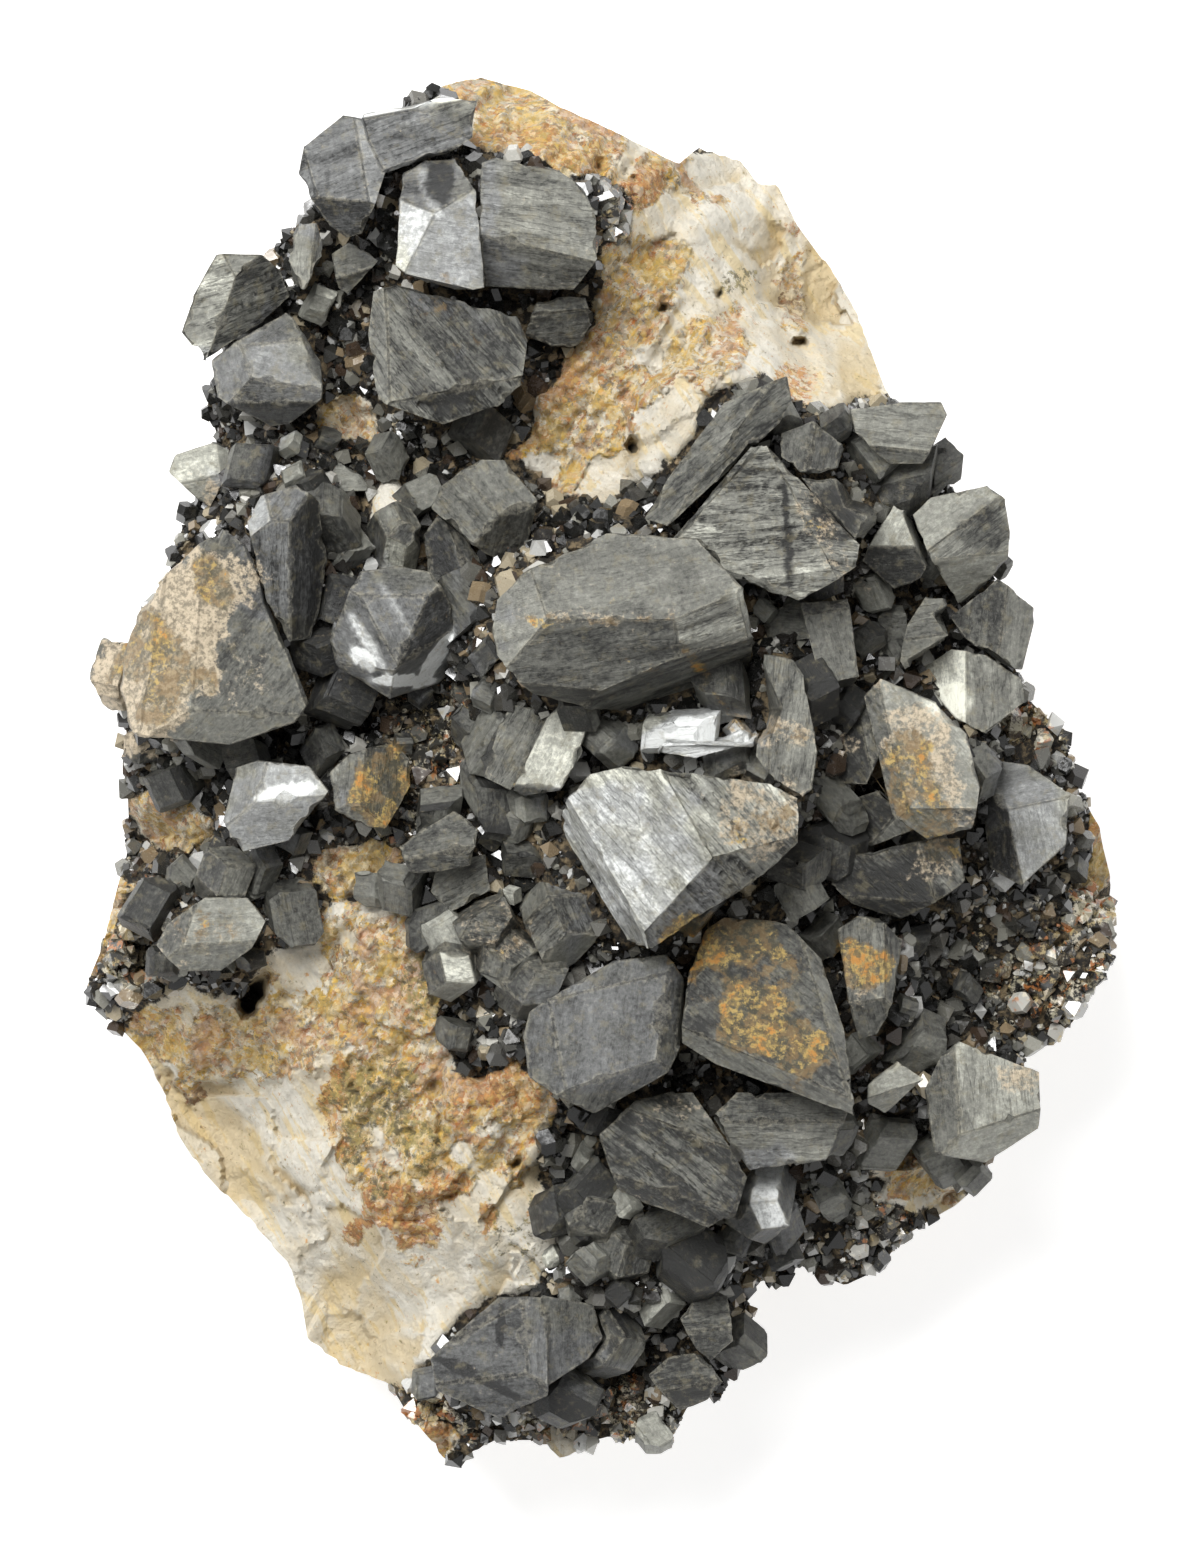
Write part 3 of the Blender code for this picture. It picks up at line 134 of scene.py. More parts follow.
# Bearing of the striation on crystals where it differs from the longest edge
GRAIN = {
    "silver": -48, "giant": 12, "striated": -50, "gable": 5, "blade": 38, "lower_right": -40,
    "rusty_triangle": -40, "striated_lower": -40, "slab": 80, "left_upper": 10, "wedge": 15, "block": -8,
    "boulder": 50, "lower_mid": 80, "top": 20, "rusty_right": -50,
}

# How light the crystals' faces are, from 0 black to 1 silver and 1.3 white, at a place seen on each: mostly
# painted light and shade by how each face meets the light, with painted reflections on the palest faces, and
# partly the faces' own tone
FACE_TONES_AND_LIGHT = {
    "top": [(-14.5, 51, 0.45), (-21, 49, 0.4), (-18, 49, 0.7), (-23, 47, 0.35), (-20, 44, 0.12),
        (-16, 53, 1.3)],
    "block": [(-13, 47, 0.4), (-15.5, 42, 1.1), (-12, 42, 0.8), (-4, 45, 0.6), (-6, 40, 0.35),
        (-13, 39, 0.4)],
    "left_upper": [(-31, 36, 0.8), (-28, 38, 0.25), (-29, 41, 0.6)],
    "left_lower": [(-25, 32, 0.72), (-26, 35, 0.4), (-29, 32, 0.5), (-25, 30, 0.3), (-26, 29, 0.2),
        (-23, 33, 0.35)],
    "striated": [(-12, 35, 0.42), (-17, 33, 0.35), (-11, 30, 0.3), (-6, 35, 0.3)],
    "pale_prism": [(-24, 41, 0.65), (-22, 42, 0.4)],
    "small_top": [(-20, 41, 0.5), (-20, 39, 0.3)],
    "shadow": [(-3, 37, 0.35), (-3, 35, 0.2)],
    "pale_left": [(-32, 25, 1.0), (-31, 23, 0.8), (-30, 25, 0.8)],
    "prism_left": [(-25, 22, 0.35), (-27, 20, 0.8), (-26, 16, 0.4), (-23, 16, 0.1), (-28, 17, 0.05)],
    "white_prism": [(-17, 20, 0.5), (-15, 21, 0.45), (-16, 17, 1.15), (-18, 18, 0.1), (-15, 17, 1.0)],
    "head_mid": [(-8, 23, 0.36), (-11, 21, 0.4), (-7, 18, 0.15), (-12, 20, 0.3)],
    "dark_prism": [(-12, 17, 0.08), (-10, 17, 0.12)],
    "mirror": [(-16, 12, 0.45), (-14, 12, 0.1), (-18, 10, 0.45), (-14, 9, 0.4), (-18, 7, 0.4),
        (-16, 15, 0.35), (-13, 15, 0.25)],
    "boulder": [(-34, 10, 0.6), (-28, 13, 0.3), (-37, 8, 0.7), (-29, 4, 0.5), (-24, 8, 0.1)],
    "giant": [(4, 15, 0.5), (-7, 12, 0.6), (-1, 9, 0.34), (9, 11, 0.65), (7, 8, 0.3), (-3, 6, 0.15),
        (12, 13, 0.8)],
    "gable": [(12, 19, 0.58), (18, 19, 0.65), (9, 22, 0.35)],
    "blade": [(8, 25, 0.35), (12, 27, 0.4)],
    "striped": [(16, 26, 0.25), (18, 25, 0.35)],
    "corner": [(24, 28, 0.55), (24, 25, 0.3)],
    "behind": [(20, 22, 0.4), (21, 20, 0.35)],
    "dark_round": [(24, 20, 0.9), (24, 16, 0.08), (26, 19, 0.25)],
    "right_head": [(28, 21, 0.8), (31, 19, 0.6), (30, 16, 0.75)],
    "right_dark": [(31, 12, 0.15), (34, 11, 0.6)],
    "knobbly": [(26, 12, 0.4), (26, 10, 0.65)],
    "right_patch": [(28, 7, 1.15), (32, 6, 0.6)],
    "post": [(19, 10, 0.4), (17, 12, 0.08)],
    "slab": [(15, 3, 0.5), (14, 8, 0.6)],
    "wedge": [(10, 4, 1.25), (9, 2, 0.95), (13, 2, 0.8)],
    "rusty_right": [(20, 2, 0.06), (22, 4, 0.3), (23, 1, 0.35), (27, 2, 0.75), (27, -4, 0.5),
        (21, -4, 0.06), (24, -2, 0.4)],
    "lower_right": [(22, -8, 0.15), (28, -7, 0.7), (23, -11, 0.1)],
    "right_edge": [(34, -1, 0.6), (36, -5, 0.8), (33, -6, 0.08)],
    "silver": [(3, -4, 1.05), (12, -3, 0.82), (10, -10, 0.35), (0, -9, 0.95)],
    "long_pair": [(-6, 2, 0.4), (-3, 2, 1.0), (-1, 3, 0.5), (-9, 2, 0.3)],
    "pale_mid": [(-28, -1, 0.62), (-24, -1, 0.95), (-26, -4, 0.75)],
    "ochre_edge": [(-20, 0, 0.6), (-17, 0, 0.15), (-19, -4, 0.3)],
    "oval": [(-13, -5, 0.3), (-12, -7, 0.15), (-11, -8, 0.4)],
    "left_small": [(-30, -6, 0.4), (-31, -8, 0.12), (-29, -9, 0.5)],
    "low_left": [(-33, -13, 0.75), (-30, -12, 0.5), (-31, -15, 0.45)],
    "heap": [(-11, -16, 1.05), (-12, -18, 0.7), (-13, -14, 0.2), (-13, -16, 0.15), (-9, -12, 0.3),
        (-8, -16, 0.4), (-4, -12, 0.3), (-2, -11, 0.25), (-3, -9, 0.5), (-5, -10, 0.5), (-2, -15, 0.6),
        (-4, -18, 0.55)],
    "lower_mid": [(1, -21, 0.38), (2, -16, 0.44), (-4, -22, 0.3), (6, -20, 0.2), (2, -25, 0.3)],
    "rusty_triangle": [(12, -16, 0.2), (19, -20, 0.4), (14, -24, 0.45), (8, -14, 0.2)],
    "rusty_block": [(21, -14, 0.45), (23, -15, 0.6), (22, -20, 0.3)],
    "striated_lower": [(6, -27, 0.35), (6, -31, 0.22), (7, -35, 0.15)],
    "fan": [(15, -27, 0.3), (14, -30, 0.6), (10, -28, 0.3)],
    "white_low": [(14, -33, 1.3), (14.5, -36, 1.2), (12, -33, 0.25), (16, -33, 0.4), (12, -36, 0.4)],
    "small_block": [(24, -25, 0.8), (23, -26, 0.6)],
    "stepped": [(28, -27, 0.35), (32, -25, 0.78), (32, -29, 0.72)],
    "low_pair": [(0, -33, 0.25), (-2, -34, 0.3), (0, -36, 0.25), (-3, -38, 0.1), (1, -38, 0.25),
        (3, -37, 0.35), (4, -39, 0.25)],
}

# The least rise of a face's normal to be seen from above, and how light the other faces are
SEEN_ABOVE = 0.05
OTHER_TONES = (0.12, 0.5)

# How rough a crystal's faces are, where that isn't usual
USUAL_RELIEF = 0.7
RELIEF = {
    "silver": 1.7, "striated": 1.7, "gable": 1.5, "striated_lower": 1.5, "block": 1.0, "wedge": 1.5,
    "lower_right": 1.2, "giant": 0.9, "left_upper": 1.3, "blade": 1.0, "lower_mid": 0.3, "left_lower": 0.35,
    "bottom": 0.3, "mirror": 0.3, "right_edge": 0.5, "pale_left": 0.4, "pale_mid": 0.35, "boulder": 0.35,
    "low_left": 0.5, "right_patch": 1.0, "white_low": 0.3,
}

# Middling crystals in the gaps: x, y, reach, stretch, bearing, and how pale, or dark where below 0; the
# palest, above 1, are painted glints
MIDDLING = [
    (-27.8, 24.2, 2.0, 1.2, 40, -0.3), (-24.6, 26.2, 1.0, 1.0, 0, 0.8), (-20.2, 23.5, 1.1, 1.8, -35, 0.7),
    (-24.5, 23.8, 1.0, 1.4, 40, 0.7), (-17.0, 25.4, 1.6, 1.2, 90, 0.3), (-14.6, 21.8, 1.9, 1.1, 60, 0.2),
    (-9.4, 27.2, 2.2, 1.3, 80, -0.2), (-11.4, 13.4, 2.5, 1.4, -50, -0.1), (-19.7, 10.6, 2.0, 1.6, 70, 0.1),
    (-20.2, 13.8, 2.0, 1.3, 60, -0.4), (-20.2, 18.2, 1.8, 1.4, -45, 0.5),
    (-21.4, 20.2, 2.2, 1.3, -40, -0.1), (-9.0, 9.4, 1.4, 1.4, 70, -0.3), (-20.2, 6.6, 2.8, 1.2, 50, -0.8),
    (-22.2, 9.8, 2.0, 1.2, 0, -0.9), (-9.8, 3.4, 1.7, 1.3, 80, 0.0), (-7.4, 3.0, 2.6, 1.3, 50, 0.1),
    (-8.6, -2.2, 2.0, 2.0, -75, -0.2), (-6.6, -4.2, 1.7, 1.1, 30, 0.7), (-5.8, -2.2, 1.6, 1.3, -30, 0.5),
    (-6.9, -9.8, 0.9, 1.0, 0, 1.2), (-15.8, -9.0, 2.0, 1.1, 0, 0.3), (-11.7, -13.8, 2.0, 1.8, -70, 0.9),
    (13.8, 29.0, 1.8, 1.8, -40, 0.4), (19.0, 27.8, 1.5, 1.0, 0, -0.2), (21.6, 25.4, 2.0, 1.6, -55, 0.1),
    (27.2, 24.3, 1.8, 1.2, 60, 0.1), (24.2, 23.0, 2.2, 1.6, 40, -0.2), (32.4, 16.6, 0.9, 1.2, 80, 0.1),
    (18.6, -2.2, 1.6, 2.4, -50, 0.3), (16.2, -9.4, 2.0, 1.1, 90, 0.6), (18.2, -13.0, 1.7, 1.1, 30, 0.3),
    (15.8, -7.4, 2.2, 1.2, 0, -0.3), (24.6, -19.0, 1.1, 1.0, 0, 0.0), (25.4, -21.6, 2.3, 1.3, 30, 0.3),
    (20.8, -22.4, 1.3, 1.6, 35, 0.5), (23.0, -29.8, 2.0, 1.4, 30, 0.1), (18.4, -28.6, 2.0, 1.3, 45, 0.2),
    (14.6, -36.0, 1.8, 1.6, 80, 0.1), (15.0, -38.6, 1.6, 1.0, 0, -0.4), (11.0, -37.4, 1.6, 1.2, 20, 0.0),
    (30.0, -32.2, 1.7, 1.2, 60, 0.4), (27.4, -31.0, 1.8, 1.3, -40, 0.2), (-36.5, 2.2, 1.4, 1.1, 0, -0.3),
    (-33.8, -0.5, 2.1, 1.2, 20, -0.4), (-27.8, 0.8, 1.9, 1.2, -20, -0.2), (-26.9, -7.2, 1.6, 1.5, 80, 0.0),
    (-27.7, -9.2, 1.2, 1.0, 0, 1.1), (-24.6, -10.9, 2.4, 1.2, -60, 0.0), (-24.5, -5.3, 1.4, 1.0, 0, 0.2),
    (-35.8, -10.9, 2.1, 1.3, 60, -0.6), (-17.8, -9.4, 1.6, 1.1, 0, 0.7), (-13.4, -12.6, 2.0, 1.3, 60, -0.3),
    (-38.7, 8.1, 2.0, 1.4, 80, 0.3), (-1.2, -31.0, 1.0, 1.4, 80, 1.2), (-1.0, -34.2, 2.6, 1.3, 60, -0.4),
    (2.2, -34.6, 1.0, 1.4, -30, 1.3), (-3.6, -38.9, 0.9, 1.2, 60, 1.3), (-3.4, -35.0, 2.0, 1.2, 80, -0.6),
    (5.8, -36.6, 2.2, 1.4, 30, -0.1), (7.4, -39.4, 3.0, 1.1, 90, -0.8), (5.0, -43.0, 1.6, 1.3, 60, 1.1),
    (4.6, -53.4, 1.6, 1.1, 0, 0.8), (11.4, -45.8, 2.0, 1.2, 0, 0.0), (-3.0, -50.2, 2.4, 1.2, 0, -0.5),
    (-22.5, 37.5, 1.5, 1.2, 60, 1.2), (-12.8, -3.0, 1.8, 1.3, 30, -0.2), (22.0, 14.6, 1.5, 1.4, -60, 0.6),
    (23.5, 12.0, 1.5, 1.3, -40, 0.2), (6.6, 3.2, 2.0, 1.9, 8, 1.9), (9.8, 5.0, 1.4, 1.8, 12, 1.5),
    (0.4, 2.6, 2.2, 1.3, -30, 0.4), (-1.6, 5.4, 1.8, 1.3, -60, -0.2), (17.0, 6.4, 2.2, 1.4, 80, -0.9),
    (19.6, 4.8, 1.8, 1.3, 60, -0.8), (9.8, 7.2, 2.3, 1.3, -35, 0.0), (13.0, 0.6, 1.6, 1.4, 60, -0.2),
    (18.4, -6.2, 2.4, 1.3, 20, -0.9), (16.8, 15.4, 2.0, 1.4, 0, -0.8), (21.6, 10.6, 1.4, 1.2, 20, -0.3),
    (-2.6, -18.5, 2.2, 1.2, 0, -0.2), (8.0, -10.5, 2.0, 1.3, 40, -0.3),
]
# Middling crystals placed at random beside them, and their least and greatest reach
FILLERS = 30
FILLER_REACH = (0.9, 1.8)

# Druse crystals: places tried, how many are kept, their least radius and how much larger they get
DRUSE_TRIES = 60000
DRUSE_COUNT = 20000
DRUSE_LEAST = 0.22
DRUSE_SPREAD = 0.75
# The Y where the druse's upper piece ends, and where its middle piece ends
DRUSE_BORDERS = (17, -17)

# Pale tan dust on the crystals: x, y, half length, half width, bearing, strength
DUST = [(-34.5, 12, 5, 8.5, -15, 1.4), (-36, 6, 4.5, 5, 10, 1.4), (-30, 16, 3, 2.4, 0, 0.9),
        (-29, 8, 2.5, 3, 0, 0.35), (0, 12.2, 5, 0.8, 0, 0.5), (12.5, -4, 3.4, 4, -60, 0.7),
        (26, 1.5, 5.5, 3, -60, 0.9), (20.8, -16.5, 2.6, 1.8, 90, 0.5), (27.5, -7.5, 2.5, 2.5, 0, 0.6),
        (33.5, -24.5, 2, 1.4, 0, 0.8), (15.5, 3, 1.2, 4.5, 80, 0.6), (18, 19, 1.6, 5, 30, 0.5),
        (6, -27, 3, 1.5, 0, 0.4), (-32, -13, 3, 2, 0, 0.3), (-8, -13, 3, 3, 0, 0.4)]
# Yellow, orange and brown stains, in the same form
STAIN = [(10.5, -13.4, 5, 2.2, 5, 1.4), (13.5, -21, 6, 2.8, -35, 1.3), (12.5, -17, 5, 1.2, 25, 0.7),
         (-31, 15.5, 1.6, 3, 20, 1.3), (-35, 8.5, 3.4, 4.5, 30, 1.1), (-34, 3.6, 3, 1.5, 0, 0.4),
         (8.5, 7.5, 2.6, 0.5, -55, 1), (0, 12.1, 5.5, 0.6, 0, 0.6), (12.5, -4.5, 1.6, 3.2, -70, 0.7),
         (25.5, -1, 2.2, 5.5, 20, 1.1), (20.8, -15.5, 2, 2.6, 0, 1.3), (-17, -1.5, 2.2, 3.6, 0, 1.2),
         (15.5, 3, 0.6, 4.5, 80, 0.6), (-13, 37.5, 2.6, 1, 60, 0.6), (-11, 35, 1, 1.6, 40, 0.6),
         (-31, -12, 3, 2, 0, 0.5), (-7, -13, 3, 2, 0, 0.4), (17.5, 20, 0.8, 4, 30, 0.4),
         (3, 9, 5, 0.5, -35, 0.4), (24, 6.5, 1.6, 0.8, 90, 0.5)]
# Rusty places in the druse, in the same form
DRUSE_DUST = [(37, -16, 5, 6.5, 0, 0.7), (40, -10, 3, 4, 0, 1), (22, -38, 5, 2.5, 30, 0.5),
              (26, -34, 4, 2, 30, 0.8), (-14, -53, 6, 3, -20, 1), (0, -52, 8, 3, 0, 0.7),
              (-21, 25, 6, 4, 0, 0.35), (-34, -8, 5, 6, 0, 0.4), (-22, -14, 4, 4, 0, 0.8),
              (-14, 0, 5, 5, 0, 0.6), (2, 46, 3, 4, 0, 0.6), (-6, 20, 5, 5, 0, 0.3),
              (33, 5, 5, 2, -40, 0.8), (-38, -14, 3, 5, 0, 0.8)]
# Painted highlights and glints on the crystals, and darker places and cracks on them, in the same form
PAINTED_HIGHLIGHTS = [(-18.4, 10.4, 0.45, 3.2, 32, 0.7), (-18.7, 8.9, 0.6, 1.2, 40, 1.8), (-15.7, 7.3, 2.4, 0.4, 0, 2.2),
        (-12.9, 9.2, 2.4, 0.5, 57, 2.2), (8.8, 2.9, 4.6, 1.6, 8, 0.8), (-16.2, 13.2, 0.3, 3.2, 30, 0.5),
        (-25, -1.6, 2.6, 0.5, 12, 0.8), (-13.4, 46.2, 2.4, 0.6, -70, 0.5), (12.2, 13.4, 1.2, 2.2, 60, 0.4),
        (28, 5.5, 2.4, 1.4, 20, 0.5)]
DARK = [(-12.6, 47.0, 1.8, 1.1, 90, 0.8), (19, 20.2, 2, 2.6, 0, 0.5), (26, -10.5, 5, 3, 0, 0.5),
        (15, 19.5, 0.25, 4.2, 3, 0.9), (-9.5, -4, 0.3, 2, 60, 0.5), (31, 19.5, 2, 2, 40, 0.4),
        (-7.8, -44.6, 1.8, 0.22, 90, 0.9), (-9.4, -48.6, 3.6, 0.25, -27, 0.9)]

# Where the crystals are slate grey rather than olive
SLATE = [(-18, 48, 8, 6, 20, 1), (-12, 42, 6, 6, 0, 0.8), (-26, 31, 6, 5, 0, 0.7), (-16, 11, 7, 6, 0, 0.9),
         (-26, 18, 4, 7, 10, 1), (3, -7, 7, 7, 0, 0.65), (1, -20, 7, 6, 0, 0.8), (-6, -47, 7, 6, 0, 1),
         (34, -4, 4, 7, 0, 0.8), (14, -35, 3, 5, 0, 1), (8, 3, 5, 2, 8, 1), (-26, -2, 5, 4, 0, 0.8)]


def lattice(i, j, k):
    """A repeatable random number from 0 to 1 at whole-numbered places."""
    mix = i.astype(np.int64) * 374761393 + j.astype(np.int64) * 668265263 + k.astype(np.int64) * 3266489917
    mix = (mix ^ (mix >> 13)) & 0xFFFFFFFF
    mix = (mix * 1274126177) & 0xFFFFFFFF
    return (mix ^ (mix >> 16)) / 4294967296.0


def noise(x, y, z=0.0):
    """Smooth noise from -1 to 1."""
    x, y, z = np.broadcast_arrays(np.asarray(x, float), np.asarray(y, float), np.asarray(z, float))
    i, j, k = np.floor(x), np.floor(y), np.floor(z)
    rises = [f * f * (3 - 2 * f) for f in (x - i, y - j, z - k)]
    total = np.zeros(x.shape)
    for corner in product((0, 1), repeat=3):
        share = np.ones(x.shape)
        for rise, side in zip(rises, corner):
            share = share * (rise if side else 1 - rise)
        total += share * lattice(i + corner[0], j + corner[1], k + corner[2])
    return total * 2 - 1


def fractal(x, y, z=0.0, octaves=3):
    """Noise with finer noise on it."""
    x, y, z = (np.asarray(value) for value in (x, y, z))
    scales = [2 ** octave for octave in range(octaves)]
    return sum(noise(x * s, y * s, z * s + octave * 7.3) / s for octave, s in enumerate(scales))


def nearest_centre(x, y, k):
    """For each point, the way from the nearest of the scattered centres, and which centre that is."""
    i, j = np.floor(x), np.floor(y)
    k = np.full(i.shape, float(k))
    best = np.full(i.shape, 9.0)
    found = [np.zeros(i.shape) for _ in range(4)]
    for a, b in product((-1, 0, 1), repeat=2):
        u = x - i - a - lattice(i + a, j + b, k)
        v = y - j - b - lattice(i + a, j + b, k + 1)
        away = np.hypot(u, v)
        found = [np.where(away < best, new, old) for new, old in zip((u, v, i + a, j + b), found)]
        best = np.minimum(away, best)
    return found


def cells(x, y, k):
    """For each point, the distance to the nearest scattered centre and that centre's random number."""
    u, v, i, j = nearest_centre(x, y, k + 1)
    return np.hypot(u, v), lattice(i, j, np.full(i.shape, k + 3.0))


def facets(x, y, size, seed):
    """The height of a surface broken into tilted flats of about the given size."""
    bends = [noise(x / size * 1.7, y / size * 1.7, seed + shift) * 0.3 for shift in (0, 3.5)]
    u, v, i, j = nearest_centre(x / size + bends[0], y / size + bends[1], seed)
    tilt_u, tilt_v, level = (lattice(i, j, np.full(i.shape, seed + shift)) - 0.5 for shift in (2.0, 3.0, 4.0))
    return (level * 0.16 + u * tilt_u * 0.55 + v * tilt_v * 0.55) * size


def ramp(value, low, high):
    """0 below low, 1 above high, and a smooth rise between."""
    t = np.clip((value - low) / (high - low), 0, 1)
    return t * t * (3 - 2 * t)


def spots(x, y, table, rough=0.3):
    """How much each point lies in the soft ellipses of a table."""
    best = np.zeros(np.shape(x))
    wobble = fractal(x / 2.2, y / 2.2, 5.0, 3) * rough
    for cx, cy, length, width, bearing, strength in table:
        turn = math.radians(bearing)
        along = (x - cx) * math.cos(turn) + (y - cy) * math.sin(turn)
        across = (y - cy) * math.cos(turn) - (x - cx) * math.sin(turn)
        reach = np.hypot(along / length, across / width)
        best = np.maximum(best, strength * ramp(1.25 - reach + wobble, 0.0, 0.5))
    return best


def inside_distance(x, y, outline):
    """The distance to an outline, counted positive inside it."""
    x, y = np.asarray(x, float), np.asarray(y, float)
    best = np.full(x.shape, 1e9)
    odd = np.zeros(x.shape, bool)
    for (ax, ay), (bx, by) in zip(outline, outline[1:] + outline[:1]):
        run = (bx - ax) ** 2 + (by - ay) ** 2
        t = np.clip(((x - ax) * (bx - ax) + (y - ay) * (by - ay)) / max(run, 1e-12), 0, 1)
        best = np.minimum(best, np.hypot(x - ax - t * (bx - ax), y - ay - t * (by - ay)))
        if ay != by:
            crosses = (ay > y) != (by > y)
            odd ^= crosses & (x < (bx - ax) * (y - ay) / (by - ay) + ax)
    return np.where(odd, best, -best)


def bareness(x, y):
    """How bare the rock is: 1 on the two bare stretches and the small patches, 0 under the druse."""
    wobble = fractal(x / 3.0, y / 3.0, 9.0, 3) * 0.9
    stretches = np.maximum(inside_distance(x, y, BARE_TOP), inside_distance(x, y, BARE_LOW))
    return np.maximum(ramp(stretches + wobble, -0.6, 0.6), spots(x, y, BARE_SPOTS))


def frame_tree(names):
    """A search tree over some of the frame's nodes, in millimetres."""
    points = []
    faces = []
    for name in names:
        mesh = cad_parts[name].data
        start = len(points)
        points += [v.co / MM for v in mesh.vertices]
        faces += [[start + i for i in face.vertices] for face in mesh.polygons]
    return BVHTree.FromPolygons(points, faces)


GARNET_NODES = sorted(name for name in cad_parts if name.startswith("garnet_"))
DRUSE_NODES = sorted(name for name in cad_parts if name.startswith("druse_"))
garnet_tree = frame_tree(GARNET_NODES)
ground_tree = frame_tree(["matrix"] + DRUSE_NODES)
matrix_tree = frame_tree(["matrix"])


def height_under_sky(tree, x, y):
    """The height of the first surface below the sky, or None."""
    hit = tree.ray_cast(Vector((x, y, SKY)), DOWN)[0]
    return None if hit is None else hit.z


def relaxed(heights, known, rounds):
    """The heights with the unknown ones filled in smoothly from around them."""
    filled = np.where(known, heights, heights[known].mean())
    for _ in range(rounds):
        padded = np.pad(filled, 1, mode="edge")
        mean = (padded[:-2, 1:-1] + padded[2:, 1:-1] + padded[1:-1, :-2] + padded[1:-1, 2:]) / 4
        filled = np.where(known, heights, mean)
    return filled


def ground_grid():
    """Ground heights on the grid, carried on smoothly under the crystals and past the rim."""
    heights = np.zeros((len(GRID_X), len(GRID_Y)))
    known = np.zeros(heights.shape, bool)
    for a, x in enumerate(GRID_X):
        for b, y in enumerate(GRID_Y):
            ground = height_under_sky(ground_tree, x, y)
            if ground is not None and height_under_sky(garnet_tree, x, y) is None:
                heights[a, b] = ground
                known[a, b] = True
    core = known.copy()
    for shift in ((1, 0), (-1, 0), (0, 1), (0, -1)):
        core &= np.roll(known, shift, (0, 1))
    x, y = np.meshgrid(GRID_X, GRID_Y, indexing="ij")
    return blurred(np.maximum(blurred(relaxed(heights, core, 1500), 3), skirts(x, y)), 2)


def skirts(x, y):
    """The heights that the ground climbs to round the crystals."""
    best = np.zeros(x.shape)
    for node in GARNET_NODES:
        low, high = (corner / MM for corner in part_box(node))
        middle, half = (low + high) / 2, (high - low) / 2
        width = min(half.x, half.y)
        away = (np.hypot((x - middle.x) / half.x, (y - middle.y) / half.y) - 1) * width
        level = high.z - BARE_LEAST - BARE_SHARE * 2 * width
        best = np.maximum(best, level - CLIMB * np.maximum(away, 0))
    return best


def blurred(heights, rounds):
    """The heights with their facets smoothed away."""
    for _ in range(rounds):
        padded = np.pad(heights, 1, mode="edge")
        wide, deep = heights.shape
        heights = sum(padded[a:a + wide, b:b + deep] for a, b in product(range(3), repeat=2)) / 9
    return heights


GROUND = ground_grid()


def ground_height(x, y):
    """The smooth ground height at any place."""
    a = np.clip((np.asarray(x) - GRID_X[0]) / GRID, 0, len(GRID_X) - 1.001)
    b = np.clip((np.asarray(y) - GRID_Y[0]) / GRID, 0, len(GRID_Y) - 1.001)
    i, j = a.astype(int), b.astype(int)
    fa, fb = a - i, b - j
    near = GROUND[i, j] * (1 - fa) + GROUND[i + 1, j] * fa
    far = GROUND[i, j + 1] * (1 - fa) + GROUND[i + 1, j + 1] * fa
    return near * (1 - fb) + far * fb


def flutes(x, y, bend):
    """The cream's flutes, which fan out below the top crest and flow down to the lower right."""
    fan = np.arctan2(y - FAN[1], x - FAN[0]) * 9.0
    across = np.where(y > 0, fan, x * 0.76 + y * 0.65) + bend
    along = np.where(y > 0, np.hypot(x - FAN[0], y - FAN[1]), x * 0.65 - y * 0.76)
    broad = np.abs(noise(across / 2.6, along / 20.0, 3.0)) * 1.7
    fine = np.abs(noise(across / 1.1, along / 9.0, 6.0)) * 0.6
    return (broad + fine) * (0.15 + 0.85 * spots(x, y, FLUTES))


def grainy_crust(x, y, bend):
    """The ochre's crust of grains, with pits among them."""
    away, tag = cells(x, y, 1)
    finer, more = cells(x / 0.6, y / 0.6, 4)
    grains = (0.6 - away) * (0.1 + tag) * 1.3 + (0.5 - finer) * (0.2 + more) * 0.7
    pits = np.minimum(fractal(x / 1.8, y / 1.8, 14.0, 3) + 0.5, 0) * 1.6
    along, across = x * 0.62 + y * 0.78 + bend, y * 0.62 - x * 0.78 + bend
    waves = noise(along / 3.0, across / 0.9, 18.0) * 0.5 + fractal(along / 4.5, across / 2.4, 22.0, 2) * 0.7
    return grains + pits + waves


def rock_relief(x, y, bare):
    """The relief of the rock with its few hollows, and how deep each point lies in it from 0 to 2, for the
    painted shade of its low places and hollows.
    """
    crumbly = ramp(spots(x, y, OCHRE_SPOTS), 0.1, 0.6)
    bend = fractal(x / 8.0, y / 8.0, 2.0, 3) * 1.2
    ribs = flutes(x, y, bend)
    lumps = fractal(x / 5.0, y / 5.0, 1.0, 4) * 0.25
    broken = facets(x, y, 6.0, 11) * 0.8 + facets(x, y, 2.4, 21) * 0.6 + facets(x, y, 1.2, 31) * 0.4
    smooth = lumps + broken * (1 - crumbly * 0.4) - ribs * (1 - crumbly * 0.8)
    shape = smooth + grainy_crust(x, y, bend) * crumbly
    sunk = spots(x, y, HOLLOWS, 0.5)
    # How deep a place lies, for painted shade: tan or dark brown in low places and flute valleys, near black
    # in the hollows
    low = np.minimum(ramp(-shape, 0.1, 1.7) + ribs * 0.35 * (1 - crumbly), 1) + sunk * 2
    return shape - sunk * HOLLOW_DEPTH - (1 - bare) * 0.8, np.clip(low, 0, 2)


def rim_line():
    """The rock's outermost points as seen from above, round the specimen."""
    points = []
    for step in range(RIM_POINTS):
        turn = step * math.tau / RIM_POINTS
        away = Vector((math.cos(turn), math.sin(turn), 0))
        reach = 0.0
        for level in np.arange(2.0, 24.0, 0.75):
            hit = matrix_tree.ray_cast(away * SKY + Vector((0, 0, level)), -away)[0]
            if hit is not None:
                reach = max(reach, hit.xy.length)
        points.append((math.cos(turn) * reach, math.sin(turn) * reach))
    return points


